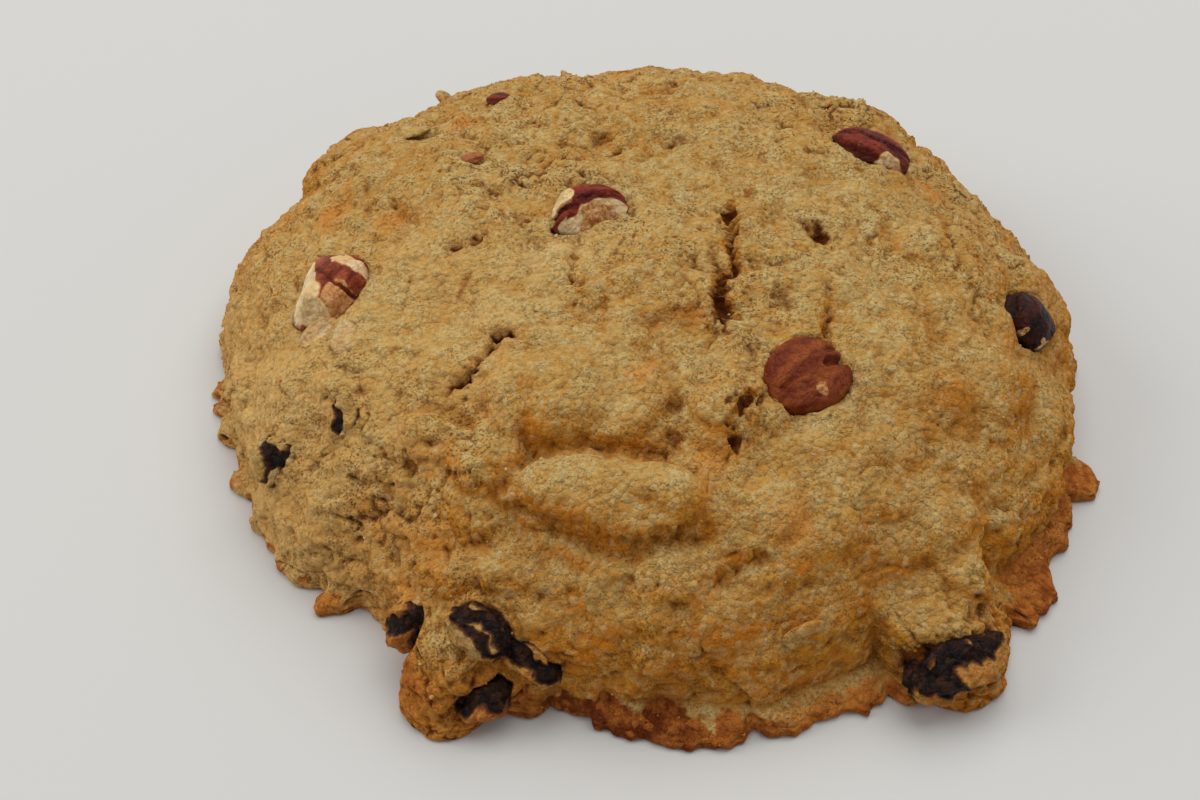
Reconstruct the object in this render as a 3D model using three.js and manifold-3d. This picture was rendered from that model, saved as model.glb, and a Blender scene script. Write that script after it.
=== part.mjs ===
// A bakery oatmeal cookie with raisins and chopped pecans, baked alone on a sheet.
// Millimetres, +Z up, the side that faces the eater is -Y, and the origin is the middle
// of the flat underside. The dough is one solid; each nut and raisin sits in its own pocket.
import * as THREE from 'three';
import { mergeVertices } from 'three/addons/utils/BufferGeometryUtils.js';
import Module from 'manifold-3d';

const wasm = await Module();
wasm.setup();

// ---- driving dimensions ---------------------------------------------------------------
const COOKIE_RADIUS = 44;        // the dough dome at the sheet, without its crust
const COOKIE_HEIGHT = 22;        // the middle of the dome above the sheet
const SHOULDER = 2.9;            // above 2 gives a flat top and a round, steep shoulder
const SKIRT_HEIGHT = 2.6;        // thickness of the crust that spread round the foot
const SKIRT_REACH = 0.3;         // how far that crust stands out where it has no tab
const FOOT_UNDERCUT = 0.6;       // the wall tucks in above the crust
const UNDERCUT_HEIGHT = 3.6;     // height at which it tucks in most
const CRUST_TUCK = 0.35;         // the crust's lowest edge curls in by this much
const RINGS = 34;                // rings of the surface mesh, ring k has 6k points
const SKIRT_RINGS = 4;           // the last of them make the crust
const GAP = 0.3;                 // air between a pocket and what lies in it
const FLAKE_SINK = 0.1;          // how far the middle of a flake lies in the dough
const CHOPPED_AWAY = 0.85;       // share of a nut beyond a chopped face that is gone

// Grooves along a nut and folds along a raisin, as shares of its size: how many and how deep.
const NUT_GROOVES = { count: 7, depth: 0.055, middleDepth: 0.1 };
const RAISIN_FOLDS = { count: 5, depth: 0.09, bend: 2.2 };
const RAISIN_CREASES = { count: 3, depth: 0.05, bend: -4 };

const DOUGH = { color: 0xab8750, roughness: 0.9 };
const PECAN_SKIN = { color: 0x6a3a20, roughness: 0.55 };
const RAISIN_SKIN = { color: 0x241a18, roughness: 0.5 };

// Where the whole outline swells or draws in: azimuth and half-width in degrees, push in mm.
const OUTLINE = [
  { at: -129, half: 13, push: -2.2 },
  { at: -104, half: 9, push: -1.4 },
  { at: -74, half: 20, push: 0.6 },
  { at: -25, half: 24, push: 1.8 },
  { at: 4, half: 20, push: 1.8 },
  { at: 46, half: 22, push: 1.5 },
  { at: 88, half: 18, push: 0.6 },
  { at: 118, half: 20, push: 1.6 },
  { at: 150, half: 28, push: 2.2 },
  { at: 170, half: 18, push: 3.0 },
];

// Tabs of thin crust round the foot: azimuth and half-width in degrees, reach in mm.
const TABS = [
  { at: -176, half: 3.5, reach: 1.8 },
  { at: -170, half: 3, reach: 1.2 },
  { at: -161, half: 4, reach: 1.8 },
  { at: -135, half: 2.2, reach: 2.2 },
  { at: -94, half: 3.5, reach: 2.8 },
  { at: -86, half: 8, reach: 3.3 },
  { at: -72, half: 7, reach: 2.7 },
  { at: -64.5, half: 5, reach: 3.3 },
  { at: -38.5, half: 5, reach: 4.8 },
  { at: -29, half: 7, reach: 2.0 },
  { at: -19, half: 3, reach: 3.8 },
  { at: 6, half: 8, reach: 1.5 },
  { at: 31, half: 5, reach: 1.4 },
  { at: 58, half: 7, reach: 1.6 },
  { at: 92, half: 9, reach: 1.3 },
  { at: 121, half: 6, reach: 1.9 },
  { at: 150, half: 8, reach: 1.4 },
];

// Clumps of dough that bulge out of the wall: reach at the sheet, and height where they end.
const CLUMPS = [
  { at: -115.2, half: 6.4, reach: 6.6, tall: 9 },
  { at: -106.8, half: 4, reach: 1.8, tall: 7.5 },
  { at: -53, half: 8.6, reach: 8.0, tall: 9.5 },
  { at: -46, half: 5, reach: 3.6, tall: 4.5 },
];

// Soft swells on the dome: middle, half sizes level and along the slope, rise in mm.
const MOUNDS = [
  { x: -7.0, y: -20.3, long: 9.2, deep: 7.2, turn: 4, rise: 2.0 },
  { x: -4.8, y: -30.9, long: 9.8, deep: 4.4, turn: -3, rise: 2.3 },
  { x: -15.6, y: -26.6, long: 3.9, deep: 3.5, turn: 20, rise: 1.4 },
  { x: -20.8, y: -24.2, long: 3.0, deep: 2.8, turn: 0, rise: 1.1 },
  { x: 1.0, y: -8.5, long: 6.5, deep: 4.0, turn: 10, rise: 1.0 },
  { x: 6.4, y: -22.6, long: 3.4, deep: 3.0, turn: 0, rise: 0.9 },
  { x: 27.6, y: -29.5, long: 4.2, deep: 4.2, turn: 30, rise: 1.3 },
  { x: 31.5, y: -15.0, long: 5.6, deep: 6.0, turn: 40, rise: 0.8 },
  { x: -24.0, y: 12.0, long: 6.5, deep: 6.5, turn: 0, rise: 0.8 },
  { x: 12.0, y: 24.0, long: 9.0, deep: 6.0, turn: -12, rise: 0.7 },
  { x: -33.0, y: -14.0, long: 5.0, deep: 5.5, turn: -40, rise: 0.9 },
  { x: -30.0, y: 22.0, long: 9.0, deep: 7.0, turn: 50, rise: 1.4 },
  { x: -17.0, y: 31.0, long: 9.5, deep: 7.0, turn: 25, rise: 1.4 },
  { x: 23.0, y: 25.0, long: 7.5, deep: 6.0, turn: -42, rise: 1.3 },
  { x: 40.0, y: 2.5, long: 4.5, deep: 5.0, turn: 85, rise: 1.1 },
];

// Shallow hollows in the top: middle, radius and depth.
const HOLLOWS = [
  { x: -5.5, y: 14.0, radius: 5.0, depth: 1.3 },
  { x: 2.6, y: -14.6, radius: 3.6, depth: 1.1 },
  { x: 4.6, y: -18.4, radius: 3.0, depth: 1.0 },
  { x: -12.0, y: 5.0, radius: 3.4, depth: 0.6 },
  { x: 9.0, y: 5.5, radius: 3.2, depth: 0.7 },
  { x: 22.0, y: -3.5, radius: 4.5, depth: 0.6 },
  { x: -20.5, y: -9.0, radius: 4.5, depth: 0.5 },
];

// Cracks that opened in baking, as points across the top, with half-width and depth.
const CRACKS = [
  { wide: 1.3, depth: 2.3, points: [[-19.5, -20.8], [-16.7, -18.0], [-14.1, -14.6], [-12.4, -14.5]] },
  { wide: 1.2, depth: 1.6, points: [[-10.3, 2.3], [-14.3, 0.5], [-18.5, -1.1], [-20.1, -2.4]] },
  { wide: 1.0, depth: 1.2, points: [[-7.9, -4.3], [-7.4, -8.9], [-7.6, -10.8]] },
  { wide: 1.3, depth: 1.8, points: [[8.0, 2.7], [7.6, 1.2], [8.4, -4.0], [6.7, -7.5], [7.1, -11.9]] },
  { wide: 1.1, depth: 1.5, points: [[16.6, 0.2], [17.4, -1.5], [17.1, -9.3], [16.2, -14.7]] },
  { wide: 1.0, depth: 1.3, points: [[30.4, 5.9], [30.1, 2.9], [31.0, -0.8]] },
  { wide: 1.5, depth: 1.6, points: [[-12.7, -31.8], [-9.8, -33.7], [-3.1, -35.6], [4.4, -34.4]] },
  { wide: 1.3, depth: 1.5, points: [[-11.9, -26.4], [-5.7, -27.0], [-2.5, -27.6], [1.4, -26.4]] },
  { wide: 1.2, depth: 1.2, points: [[-5.1, -14.4], [-0.8, -16.6], [1.6, -19.4], [2.6, -23.2]] },
  { wide: 1.2, depth: 1.6, points: [[-12.3, -25.2], [-11.5, -26.9], [-12.4, -28.6], [-14.4, -30.3]] },
  { wide: 1.2, depth: 2.0, points: [[8.4, -21.7], [7.4, -23.9], [6.5, -25.8]] },
  { wide: 0.9, depth: 1.0, points: [[-25.6, 6.8], [-24.5, 4.9], [-23.5, 2.9]] },
  { wide: 0.9, depth: 1.0, points: [[-17.1, -5.2], [-18.1, -7.0], [-18.9, -8.8]] },
  { wide: 1.2, depth: 1.3, points: [[5.7, -37.2], [7.4, -36.2], [8.9, -35.3]] },
  { wide: 1.0, depth: 1.2, points: [[-28.0, -25.5], [-25.5, -27.6], [-23.6, -30.2]] },
  { wide: 1.0, depth: 1.2, points: [[22.5, 6.5], [24.0, 3.0], [23.6, -1.0]] },
  { wide: 1.1, depth: 1.3, points: [[-2.0, 27.0], [2.5, 25.4], [5.0, 28.4]] },
  { wide: 1.0, depth: 1.2, points: [[22.0, 26.0], [19.5, 30.5], [20.5, 34.0]] },
  { wide: 1.0, depth: 1.2, points: [[-17.0, 33.5], [-12.5, 36.0], [-9.0, 35.0]] },
];

// Two sizes of dough crag, scattered over the dome: how many, radius range and rise in mm.
const BIG_CRAGS = { seed: 11, count: 170, radius: [4.0, 7.0], rise: [0.5, 1.1] };
const SMALL_CRAGS = { seed: 23, count: 760, radius: [1.9, 3.3], rise: [0.4, 0.8] };
const RIM_CRAGS = { seed: 5, count: 110, radius: [1.4, 3.6], rise: [0.1, 0.5] };
const DOUGH_SINK = 0.9;          // the crags rise from this far below the plain dome

// Rolled-oat flakes that stand out of the dough: place, turn and tilt in degrees, size.
const FLAKE = { long: 3.0, wide: 1.9, thick: 0.55 };
const FLAKES = [
  { x: -32.4, y: -9.0, turn: 20, tilt: 14, size: 0.8 },
  { x: -29.2, y: -11.4, turn: 95, tilt: 10, size: 0.7 },
  { x: -21.6, y: 31.8, turn: 75, tilt: 68, size: 0.8 },
  { x: -8.4, y: 37.4, turn: 80, tilt: 76, size: 0.9 },
  { x: 13.6, y: -39.4, turn: 12, tilt: 20, size: 0.8 },
  { x: -4.4, y: -38.0, turn: 60, tilt: 16, size: 0.85 },
  { x: 3.8, y: 4.6, turn: 110, tilt: 8, size: 0.7 },
  { x: 27.0, y: 8.0, turn: -30, tilt: 7, size: 0.8 },
  { x: 19.4, y: -28.6, turn: 45, tilt: 10, size: 0.8 },
  { x: -24.6, y: 20.4, turn: 140, tilt: 6, size: 0.85 },
  { x: 9.2, y: 33.0, turn: 15, tilt: 9, size: 0.9 },
  { x: 34.6, y: 17.0, turn: 70, tilt: 8, size: 0.85 },
  { x: -38.2, y: 12.6, turn: 160, tilt: 8, size: 0.85 },
  { x: -30.2, y: 28.4, turn: 40, tilt: 10, size: 0.9 },
];

// Chopped pecans: half sizes along, across and up, how deep the middle sinks, and the
// directions of the faces left by chopping, each with its distance from the middle.
const PECANS = [
  { name: 'pecan_1', x: -6.1, y: 2.4, half: [4.2, 3.3, 2.6], turn: 18, sink: 0.5,
    cuts: [{ facing: [-0.8, 0.35, 0.5], at: 3.0 }, { facing: [0.05, -0.9, 0.45], at: 1.6 }] },
  { name: 'pecan_2', x: 23.6, y: 15.4, half: [4.3, 2.7, 2.3], turn: -22, sink: 0.5,
    cuts: [{ facing: [0.2, -0.95, -0.2], at: 2.5 }] },
  { name: 'pecan_3', x: 37.7, y: -3.9, half: [3.3, 3.2, 2.4], turn: 80, sink: 0.3,
    cuts: [{ facing: [-0.5, -0.8, 0.3], at: 2.7 }] },
  { name: 'pecan_4', x: 14.5, y: -18.3, half: [4.5, 4.2, 3.0], turn: 35, sink: 0.6,
    cuts: [{ facing: [0.95, -0.1, 0.1], at: 4.0 }] },
  { name: 'pecan_5', x: -32.0, y: -4.2, half: [4.9, 4.1, 3.4], turn: 48, sink: 0.5,
    cuts: [{ facing: [-0.35, 0.5, 0.8], at: 2.4 }, { facing: [-0.85, -0.3, 0.4], at: 2.9 }] },
];
const PECAN_BITS = [
  { name: 'pecan_bit_1', x: -15.6, y: 24.2, half: [1.5, 0.9, 0.8], turn: -25, sink: 0.1 },
  { name: 'pecan_bit_2', x: -17.9, y: 12.0, half: [1.2, 0.7, 0.6], turn: 10, sink: 0.0 },
];

// Raisins: middle given by azimuth, height and distance out of the plain wall.
const RAISINS = [
  { name: 'raisin_1', azimuth: -121.4, height: 5.6, out: 0.8, half: [2.6, 1.9, 2.0], turn: 70 },
  { name: 'raisin_2', azimuth: -111.8, height: 8.0, out: 0.3, half: [3.1, 2.2, 1.8], turn: -28 },
  { name: 'raisin_3', azimuth: -105, height: 5.4, out: 0.2, half: [2.9, 1.6, 1.6], turn: -38 },
  { name: 'raisin_4', azimuth: -110.2, height: 2.3, out: 1.6, half: [3.1, 1.7, 2.2], turn: 24 },
  { name: 'raisin_5', azimuth: -55.4, height: 3.2, out: 4.4, half: [5.4, 2.6, 2.8], turn: 8 },
  { name: 'raisin_6', azimuth: -152.2, height: 9.2, out: -0.6, half: [2.8, 2.0, 1.7], turn: 70 },
  { name: 'raisin_7', azimuth: -146, height: 15.2, out: -0.8, half: [2.6, 1.5, 1.5], turn: 80 },
];

// ---- the plain dome -------------------------------------------------------------------
const RADIANS = Math.PI / 180;

function domeRadius(height) {
  return COOKIE_RADIUS * (1 - (height / COOKIE_HEIGHT) ** 2) ** (1 / SHOULDER);
}

function domePoint(azimuth, radius, height) {
  return new THREE.Vector3(radius * Math.cos(azimuth), radius * Math.sin(azimuth), height);
}

function onTop(x, y) {
  const spread = Math.hypot(x, y) / COOKIE_RADIUS;
  return new THREE.Vector3(x, y, COOKIE_HEIGHT * Math.sqrt(1 - spread ** SHOULDER));
}

function domeNormal(point) {
  const radius = Math.max(Math.hypot(point.x, point.y), 1e-6);
  const slope = SHOULDER * (radius / COOKIE_RADIUS) ** (SHOULDER - 1) / COOKIE_RADIUS;
  const rise = 2 * point.z / COOKIE_HEIGHT ** 2;
  return new THREE.Vector3(slope * point.x / radius, slope * point.y / radius, rise).normalize();
}

// Radius and height at equal steps down the dome, from the middle to the top of the skirt.
function domeProfile(steps) {
  const fine = 4000;
  const lowest = Math.acos(SKIRT_HEIGHT / COOKIE_HEIGHT);
  const points = [];
  let walked = 0;
  for (let i = 0; i <= fine; i++) {
    const angle = lowest * i / fine;
    const radius = COOKIE_RADIUS * Math.sin(angle) ** (2 / SHOULDER);
    const height = COOKIE_HEIGHT * Math.cos(angle);
    const last = points[i - 1];
    if (last) walked += Math.hypot(radius - last.radius, height - last.height);
    points.push({ radius, height, walked });
  }
  const profile = [];
  let next = 0;
  for (let step = 0; step <= steps; step++) {
    while (next < fine && points[next].walked < walked * step / steps) next++;
    profile.push(points[next]);
  }
  return profile;
}

// ---- relief ---------------------------------------------------------------------------
function seededRandom(seed) {
  let state = seed;
  return () => {
    state = (state + 0x6d2b79f5) | 0;
    let mixed = Math.imul(state ^ (state >>> 15), 1 | state);
    mixed = (mixed + Math.imul(mixed ^ (mixed >>> 7), 61 | mixed)) ^ mixed;
    return ((mixed ^ (mixed >>> 14)) >>> 0) / 4294967296;
  };
}

function scatterCrags({ seed, count, radius, rise }) {
  const random = seededRandom(seed);
  const profile = domeProfile(400);
  const crags = [];
  while (crags.length < count) {
    const spot = profile[Math.floor(random() * profile.length)];
    const kept = random() * COOKIE_RADIUS < spot.radius;
    const azimuth = random() * 2 * Math.PI;
    const size = radius[0] + (radius[1] - radius[0]) * random();
    const height = rise[0] + (rise[1] - rise[0]) * random();
    if (kept) crags.push({ middle: domePoint(azimuth, spot.radius, spot.height), size, height });
  }
  return crags;
}

// Crags are rounded caps, and where two meet they leave a crease.
function cragHeight(point, crags) {
  let highest = 0;
  for (const crag of crags) {
    const away = point.distanceToSquared(crag.middle) / crag.size ** 2;
    if (away < 1) highest = Math.max(highest, crag.height * (1 - away));
  }
  return highest;
}

// Axes at a point of the dome: level, square to that along the slope, and outwards. The
// first two are turned about the last.
function surfaceAxes(point, turn) {
  const out = domeNormal(point);
  const level = new THREE.Vector3(1, 0, 0).addScaledVector(out, -out.x).normalize();
  level.applyAxisAngle(out, turn * RADIANS);
  const slope = new THREE.Vector3().crossVectors(out, level);
  return { level, slope, out };
}

function moundHeight(point, mound) {
  const offset = point.clone().sub(mound.middle);
  const along = offset.dot(mound.axes.level) / mound.long;
  const across = offset.dot(mound.axes.slope) / mound.deep;
  const away = along ** 2 + across ** 2 + (offset.dot(mound.axes.out) / mound.deep) ** 2;
  return away < 1 ? mound.rise * (1 - away) ** 0.6 : 0;
}

function distanceToLine(point, corners) {
  let nearest = Infinity;
  for (let i = 1; i < corners.length; i++) {
    const segment = new THREE.Line3(corners[i - 1], corners[i]);
    const closest = segment.closestPointToPoint(point, true, new THREE.Vector3());
    nearest = Math.min(nearest, closest.distanceTo(point));
  }
  return nearest;
}

function scatterRim({ seed, count, radius, rise }) {
  const random = seededRandom(seed);
  return Array.from({ length: count }, () => {
    const middle = domePoint(random() * 2 * Math.PI, COOKIE_RADIUS, 0);
    const size = radius[0] + (radius[1] - radius[0]) * random();
    return { middle, size, height: rise[0] + (rise[1] - rise[0]) * random() };
  });
}

const bigCrags = scatterCrags(BIG_CRAGS);
const smallCrags = scatterCrags(SMALL_CRAGS);
const rimCrags = scatterRim(RIM_CRAGS);
const mounds = MOUNDS.map((mound) => {
  const middle = onTop(mound.x, mound.y);
  return { ...mound, middle, axes: surfaceAxes(middle, mound.turn) };
});
const hollows = HOLLOWS.map((hollow) => ({ ...hollow, middle: onTop(hollow.x, hollow.y) }));
const cracks = CRACKS.map((crack) => ({ ...crack, corners: crack.points.map(([x, y]) => onTop(x, y)) }));

// How far the dough stands out of the plain dome at a point of it.
function reliefWithoutCracks(point) {
  let height = cragHeight(point, bigCrags) + cragHeight(point, smallCrags) - DOUGH_SINK;
  for (const mound of mounds) height += moundHeight(point, mound);
  for (const hollow of hollows) {
    const away = point.distanceTo(hollow.middle) / hollow.radius;
    if (away < 1) height -= hollow.depth * (1 - away * away) ** 2;
  }
  return height;
}

function relief(point) {
  let height = reliefWithoutCracks(point);
  for (const crack of cracks) {
    const away = distanceToLine(point, crack.corners) / crack.wide;
    if (away < 1) height -= crack.depth * (1 - away * away);
  }
  return height;
}

// ---- outline, clumps and crust round the foot -------------------------------------------
function degreesApart(azimuth, at) {
  const apart = Math.abs(azimuth / RADIANS - at) % 360;
  return Math.min(apart, 360 - apart);
}

function swell(azimuth, { at, half }, power) {
  const away = degreesApart(azimuth, at) / half;
  return away < 1 ? (1 - away * away) ** power : 0;
}

function outlinePush(azimuth, radius) {
  let push = 0;
  for (const bend of OUTLINE) push += bend.push * swell(azimuth, bend, 2);
  return push * Math.min(1, radius / COOKIE_RADIUS) ** 3;
}

function clumpReach(azimuth, height) {
  let reach = 0;
  for (const clump of CLUMPS) {
    const level = Math.max(0, 1 - (height / clump.tall) ** 2);
    reach = Math.max(reach, clump.reach * swell(azimuth, clump, 0.6) * level ** 0.7);
  }
  return reach;
}

function footUndercut(height) {
  const away = (height - UNDERCUT_HEIGHT) / UNDERCUT_HEIGHT;
  return Math.abs(away) < 1 ? FOOT_UNDERCUT * (1 - away * away) : 0;
}

function skirtReach(azimuth) {
  let reach = SKIRT_REACH;
  for (const tab of TABS) reach = Math.max(reach, tab.reach * swell(azimuth, tab, 0.5));
  return reach + cragHeight(domePoint(azimuth, COOKIE_RADIUS, 0), rimCrags);
}

function sidewaysReach(azimuth, radius, height) {
  return outlinePush(azimuth, radius) + clumpReach(azimuth, height) - footUndercut(height);
}

// A point of the baked surface above a point of the plain dome, lifted by a given relief.
function bakedPoint(azimuth, radius, height, lift) {
  const plain = domePoint(azimuth, radius, height);
  const point = plain.clone().addScaledVector(domeNormal(plain), lift);
  const sideways = sidewaysReach(azimuth, radius, height);
  return point.add(domePoint(azimuth, sideways, 0));
}

const footRadius = domeRadius(SKIRT_HEIGHT);

// A point of the crust round the foot: down is 0 at the wall and 1 on the sheet.
function skirtPoint(azimuth, down) {
  const foot = domePoint(azimuth, footRadius, SKIRT_HEIGHT);
  const wall = bakedPoint(azimuth, footRadius, SKIRT_HEIGHT, relief(foot));
  const height = wall.z * (1 - down) ** 0.8;
  const tuck = down === 1 ? CRUST_TUCK : 0;
  const spread = skirtReach(azimuth) * Math.sin(Math.min(1, down * 1.3) * Math.PI / 2) - tuck;
  const clump = clumpReach(azimuth, height) - clumpReach(azimuth, SKIRT_HEIGHT);
  return new THREE.Vector3(wall.x, wall.y, height).add(domePoint(azimuth, spread + clump, 0));
}

function doughPoint(ring, azimuth, profile) {
  const wallRings = RINGS - SKIRT_RINGS;
  if (ring > wallRings) return skirtPoint(azimuth, (ring - wallRings) / SKIRT_RINGS);
  const { radius, height } = profile[ring];
  return bakedPoint(azimuth, radius, height, relief(domePoint(azimuth, radius, height)));
}

// ---- the dough: rings of points over the dome, closed by a flat underside --------------
function ringStart(ring) {
  return ring === 0 ? 0 : 1 + 3 * ring * (ring - 1);
}

function ringIndex(ring, place) {
  return ring === 0 ? 0 : ringStart(ring) + place % (6 * ring);
}

function doughGeometry() {
  const profile = domeProfile(RINGS - SKIRT_RINGS);
  const positions = [];
  for (let ring = 0; ring <= RINGS; ring++) {
    for (let place = 0; place < Math.max(1, 6 * ring); place++) {
      const azimuth = ring === 0 ? 0 : place / (6 * ring) * 2 * Math.PI;
      positions.push(...doughPoint(ring, azimuth, profile).toArray());
    }
  }
  const faces = [];
  for (let ring = 1; ring <= RINGS; ring++) {
    for (let side = 0; side < 6; side++) {
      for (let step = 0; step < ring; step++) {
        const outer = ringIndex(ring, side * ring + step);
        const outerNext = ringIndex(ring, side * ring + step + 1);
        const inner = ringIndex(ring - 1, side * (ring - 1) + step);
        faces.push(outer, outerNext, inner);
        if (step < ring - 1) {
          faces.push(inner, outerNext, ringIndex(ring - 1, side * (ring - 1) + step + 1));
        }
      }
    }
  }
  const underside = positions.length / 3;
  positions.push(0, 0, 0);
  for (let place = 0; place < 6 * RINGS; place++) {
    faces.push(ringIndex(RINGS, place + 1), ringIndex(RINGS, place), underside);
  }
  return indexedGeometry(positions, faces);
}

function indexedGeometry(positions, faces) {
  const geometry = new THREE.BufferGeometry();
  geometry.setAttribute('position', new THREE.Float32BufferAttribute(positions, 3));
  geometry.setIndex(faces);
  return geometry;
}

// ---- joining and cutting ----------------------------------------------------------------
function toSolid(geometry) {
  const bare = geometry.clone();
  bare.deleteAttribute('normal');
  bare.deleteAttribute('uv');
  const merged = mergeVertices(bare, 1e-4);
  const vertProperties = new Float32Array(merged.attributes.position.array);
  const triVerts = new Uint32Array(merged.index.array);
  return new wasm.Manifold(new wasm.Mesh({ numProp: 3, vertProperties, triVerts }));
}

function toGeometry(solid) {
  const mesh = solid.getMesh();
  return indexedGeometry(Array.from(mesh.vertProperties), Array.from(mesh.triVerts));
}

function largestPiece(solid) {
  const pieces = solid.decompose();
  return pieces.reduce((best, piece) => (piece.volume() > best.volume() ? piece : best));
}

function setInSurface(geometry, middle, turn, out) {
  const axes = surfaceAxes(middle, turn);
  const frame = new THREE.Matrix4().makeBasis(axes.level, axes.slope, axes.out);
  frame.setPosition(out);
  return geometry.applyMatrix4(frame);
}

// The middle of something that lies in the top, sunk by a depth below the baked surface.
function placeInTop({ x, y, sink }) {
  const plain = onTop(x, y);
  const azimuth = Math.atan2(y, x);
  const radius = Math.hypot(x, y);
  return { plain, middle: bakedPoint(azimuth, radius, plain.z, reliefWithoutCracks(plain) - sink) };
}

function placeInWall({ azimuth, height, out }) {
  const angle = azimuth * RADIANS;
  const plain = domePoint(angle, domeRadius(height), height);
  const push = outlinePush(angle, COOKIE_RADIUS);
  const middle = plain.clone().addScaledVector(domeNormal(plain), out);
  return { plain, middle: middle.add(domePoint(angle, push, 0)) };
}

// ---- oat flakes, pecans and raisins -------------------------------------------------------
function flakeGeometry(flake) {
  const geometry = new THREE.SphereGeometry(1, 6, 4);
  geometry.scale(FLAKE.long * flake.size, FLAKE.wide * flake.size, FLAKE.thick);
  geometry.rotateX(flake.tilt * RADIANS);
  const { plain, middle } = placeInTop({ ...flake, sink: FLAKE_SINK });
  return setInSurface(geometry, plain, flake.turn, middle);
}

// Rounded lump whose points are pushed along their own direction by a shape of its own.
function lumpGeometry(half, detail, grow, stretch) {
  const geometry = mergeVertices(withoutShading(new THREE.IcosahedronGeometry(1, detail)), 1e-4);
  const position = geometry.attributes.position;
  const direction = new THREE.Vector3();
  for (let i = 0; i < position.count; i++) {
    direction.fromBufferAttribute(position, i).normalize();
    const size = stretch(direction);
    const point = new THREE.Vector3(half[0], half[1], half[2]).multiply(direction);
    point.multiplyScalar(size).addScaledVector(direction, grow);
    position.setXYZ(i, point.x, point.y, point.z);
  }
  return geometry;
}

function withoutShading(geometry) {
  geometry.deleteAttribute('normal');
  geometry.deleteAttribute('uv');
  return geometry;
}

// The grooves of a pecan half run along its length, with a deep one down the middle.
function pecanStretch(direction) {
  const around = Math.atan2(direction.y, direction.z);
  const { count, depth, middleDepth } = NUT_GROOVES;
  const middle = middleDepth * Math.exp(-((around * 3) ** 2));
  return 1 + (depth * Math.cos(around * count) - middle) * (1 - direction.x ** 2);
}

// Flat faces left where the nut was chopped.
function chop(geometry, cuts, grow) {
  const position = geometry.attributes.position;
  const point = new THREE.Vector3();
  for (const cut of cuts) {
    const facing = new THREE.Vector3(...cut.facing).normalize();
    for (let i = 0; i < position.count; i++) {
      point.fromBufferAttribute(position, i);
      const beyond = point.dot(facing) - cut.at - grow;
      if (beyond > 0) point.addScaledVector(facing, -CHOPPED_AWAY * beyond);
      position.setXYZ(i, point.x, point.y, point.z);
    }
  }
  return geometry;
}

function pecanGeometry(pecan, detail, grow) {
  const nut = chop(lumpGeometry(pecan.half, detail, grow, pecanStretch), pecan.cuts ?? [], grow);
  const { plain, middle } = placeInTop(pecan);
  return setInSurface(nut, plain, pecan.turn, middle);
}

// A raisin is folded: deep wrinkles run roughly along it and bend as they go.
function raisinStretch(direction) {
  const around = Math.atan2(direction.y, direction.z);
  const wave = ({ count, depth, bend }) => depth * Math.cos(around * count + direction.x * bend);
  return 1 + (wave(RAISIN_FOLDS) + wave(RAISIN_CREASES)) * (1 - 0.8 * direction.x ** 2);
}

function raisinGeometry(raisin, grow) {
  const fruit = lumpGeometry(raisin.half, 2, grow, raisinStretch);
  const { plain, middle } = placeInWall(raisin);
  return setInSurface(fruit, plain, raisin.turn, middle);
}

// ---- the cookie ---------------------------------------------------------------------------
function material({ color, roughness }) {
  return new THREE.MeshStandardMaterial({ color, roughness, metalness: 0 });
}

function namedMesh(name, geometry, look) {
  const mesh = new THREE.Mesh(geometry, material(look));
  mesh.name = name;
  return mesh;
}

function buildDough() {
  let dough = toSolid(doughGeometry());
  for (const flake of FLAKES) dough = dough.add(toSolid(flakeGeometry(flake)));
  for (const pecan of PECANS) dough = dough.subtract(toSolid(pecanGeometry(pecan, 2, GAP)));
  for (const bit of PECAN_BITS) dough = dough.subtract(toSolid(pecanGeometry(bit, 1, GAP)));
  for (const raisin of RAISINS) dough = dough.subtract(toSolid(raisinGeometry(raisin, GAP)));
  return toGeometry(largestPiece(dough));
}

const cookie = new THREE.Group();
cookie.add(namedMesh('cookie', buildDough(), DOUGH));
for (const pecan of PECANS) {
  cookie.add(namedMesh(pecan.name, pecanGeometry(pecan, 2, 0), PECAN_SKIN));
}
for (const bit of PECAN_BITS) {
  cookie.add(namedMesh(bit.name, pecanGeometry(bit, 1, 0), PECAN_SKIN));
}
for (const raisin of RAISINS) {
  cookie.add(namedMesh(raisin.name, raisinGeometry(raisin, 0), RAISIN_SKIN));
}

export default cookie;
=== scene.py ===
"""An oatmeal raisin cookie with chopped pecans: its looks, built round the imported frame."""
import math

import bmesh
import bpy
import numpy as np
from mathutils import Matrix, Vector


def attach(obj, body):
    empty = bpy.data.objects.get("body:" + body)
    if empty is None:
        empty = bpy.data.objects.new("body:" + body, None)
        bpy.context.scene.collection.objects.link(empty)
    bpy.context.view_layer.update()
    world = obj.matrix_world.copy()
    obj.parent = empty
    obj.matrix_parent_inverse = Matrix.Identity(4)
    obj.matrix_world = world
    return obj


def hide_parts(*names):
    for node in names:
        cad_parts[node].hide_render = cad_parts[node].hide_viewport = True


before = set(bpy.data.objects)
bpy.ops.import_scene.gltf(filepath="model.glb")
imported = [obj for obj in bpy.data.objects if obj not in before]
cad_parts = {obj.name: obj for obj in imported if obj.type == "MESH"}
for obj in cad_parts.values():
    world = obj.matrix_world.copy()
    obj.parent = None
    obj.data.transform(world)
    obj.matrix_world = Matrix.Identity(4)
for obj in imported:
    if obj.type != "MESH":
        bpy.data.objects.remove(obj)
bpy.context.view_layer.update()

# ==== The dough =============================================================
# A stiff scoop of oat dough that spread and domed on a baking sheet and cracked as it dried.
# One body of flour, butter, sugar and rolled oats. Its sizes are in millimetres and shared
# with the frame: a flat-topped dome, swells, crags, cracks, two clumps and a thin crust.
MM = 0.001
COOKIE_RADIUS = 44.0
COOKIE_HEIGHT = 22.0
SHOULDER = 2.9
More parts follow.
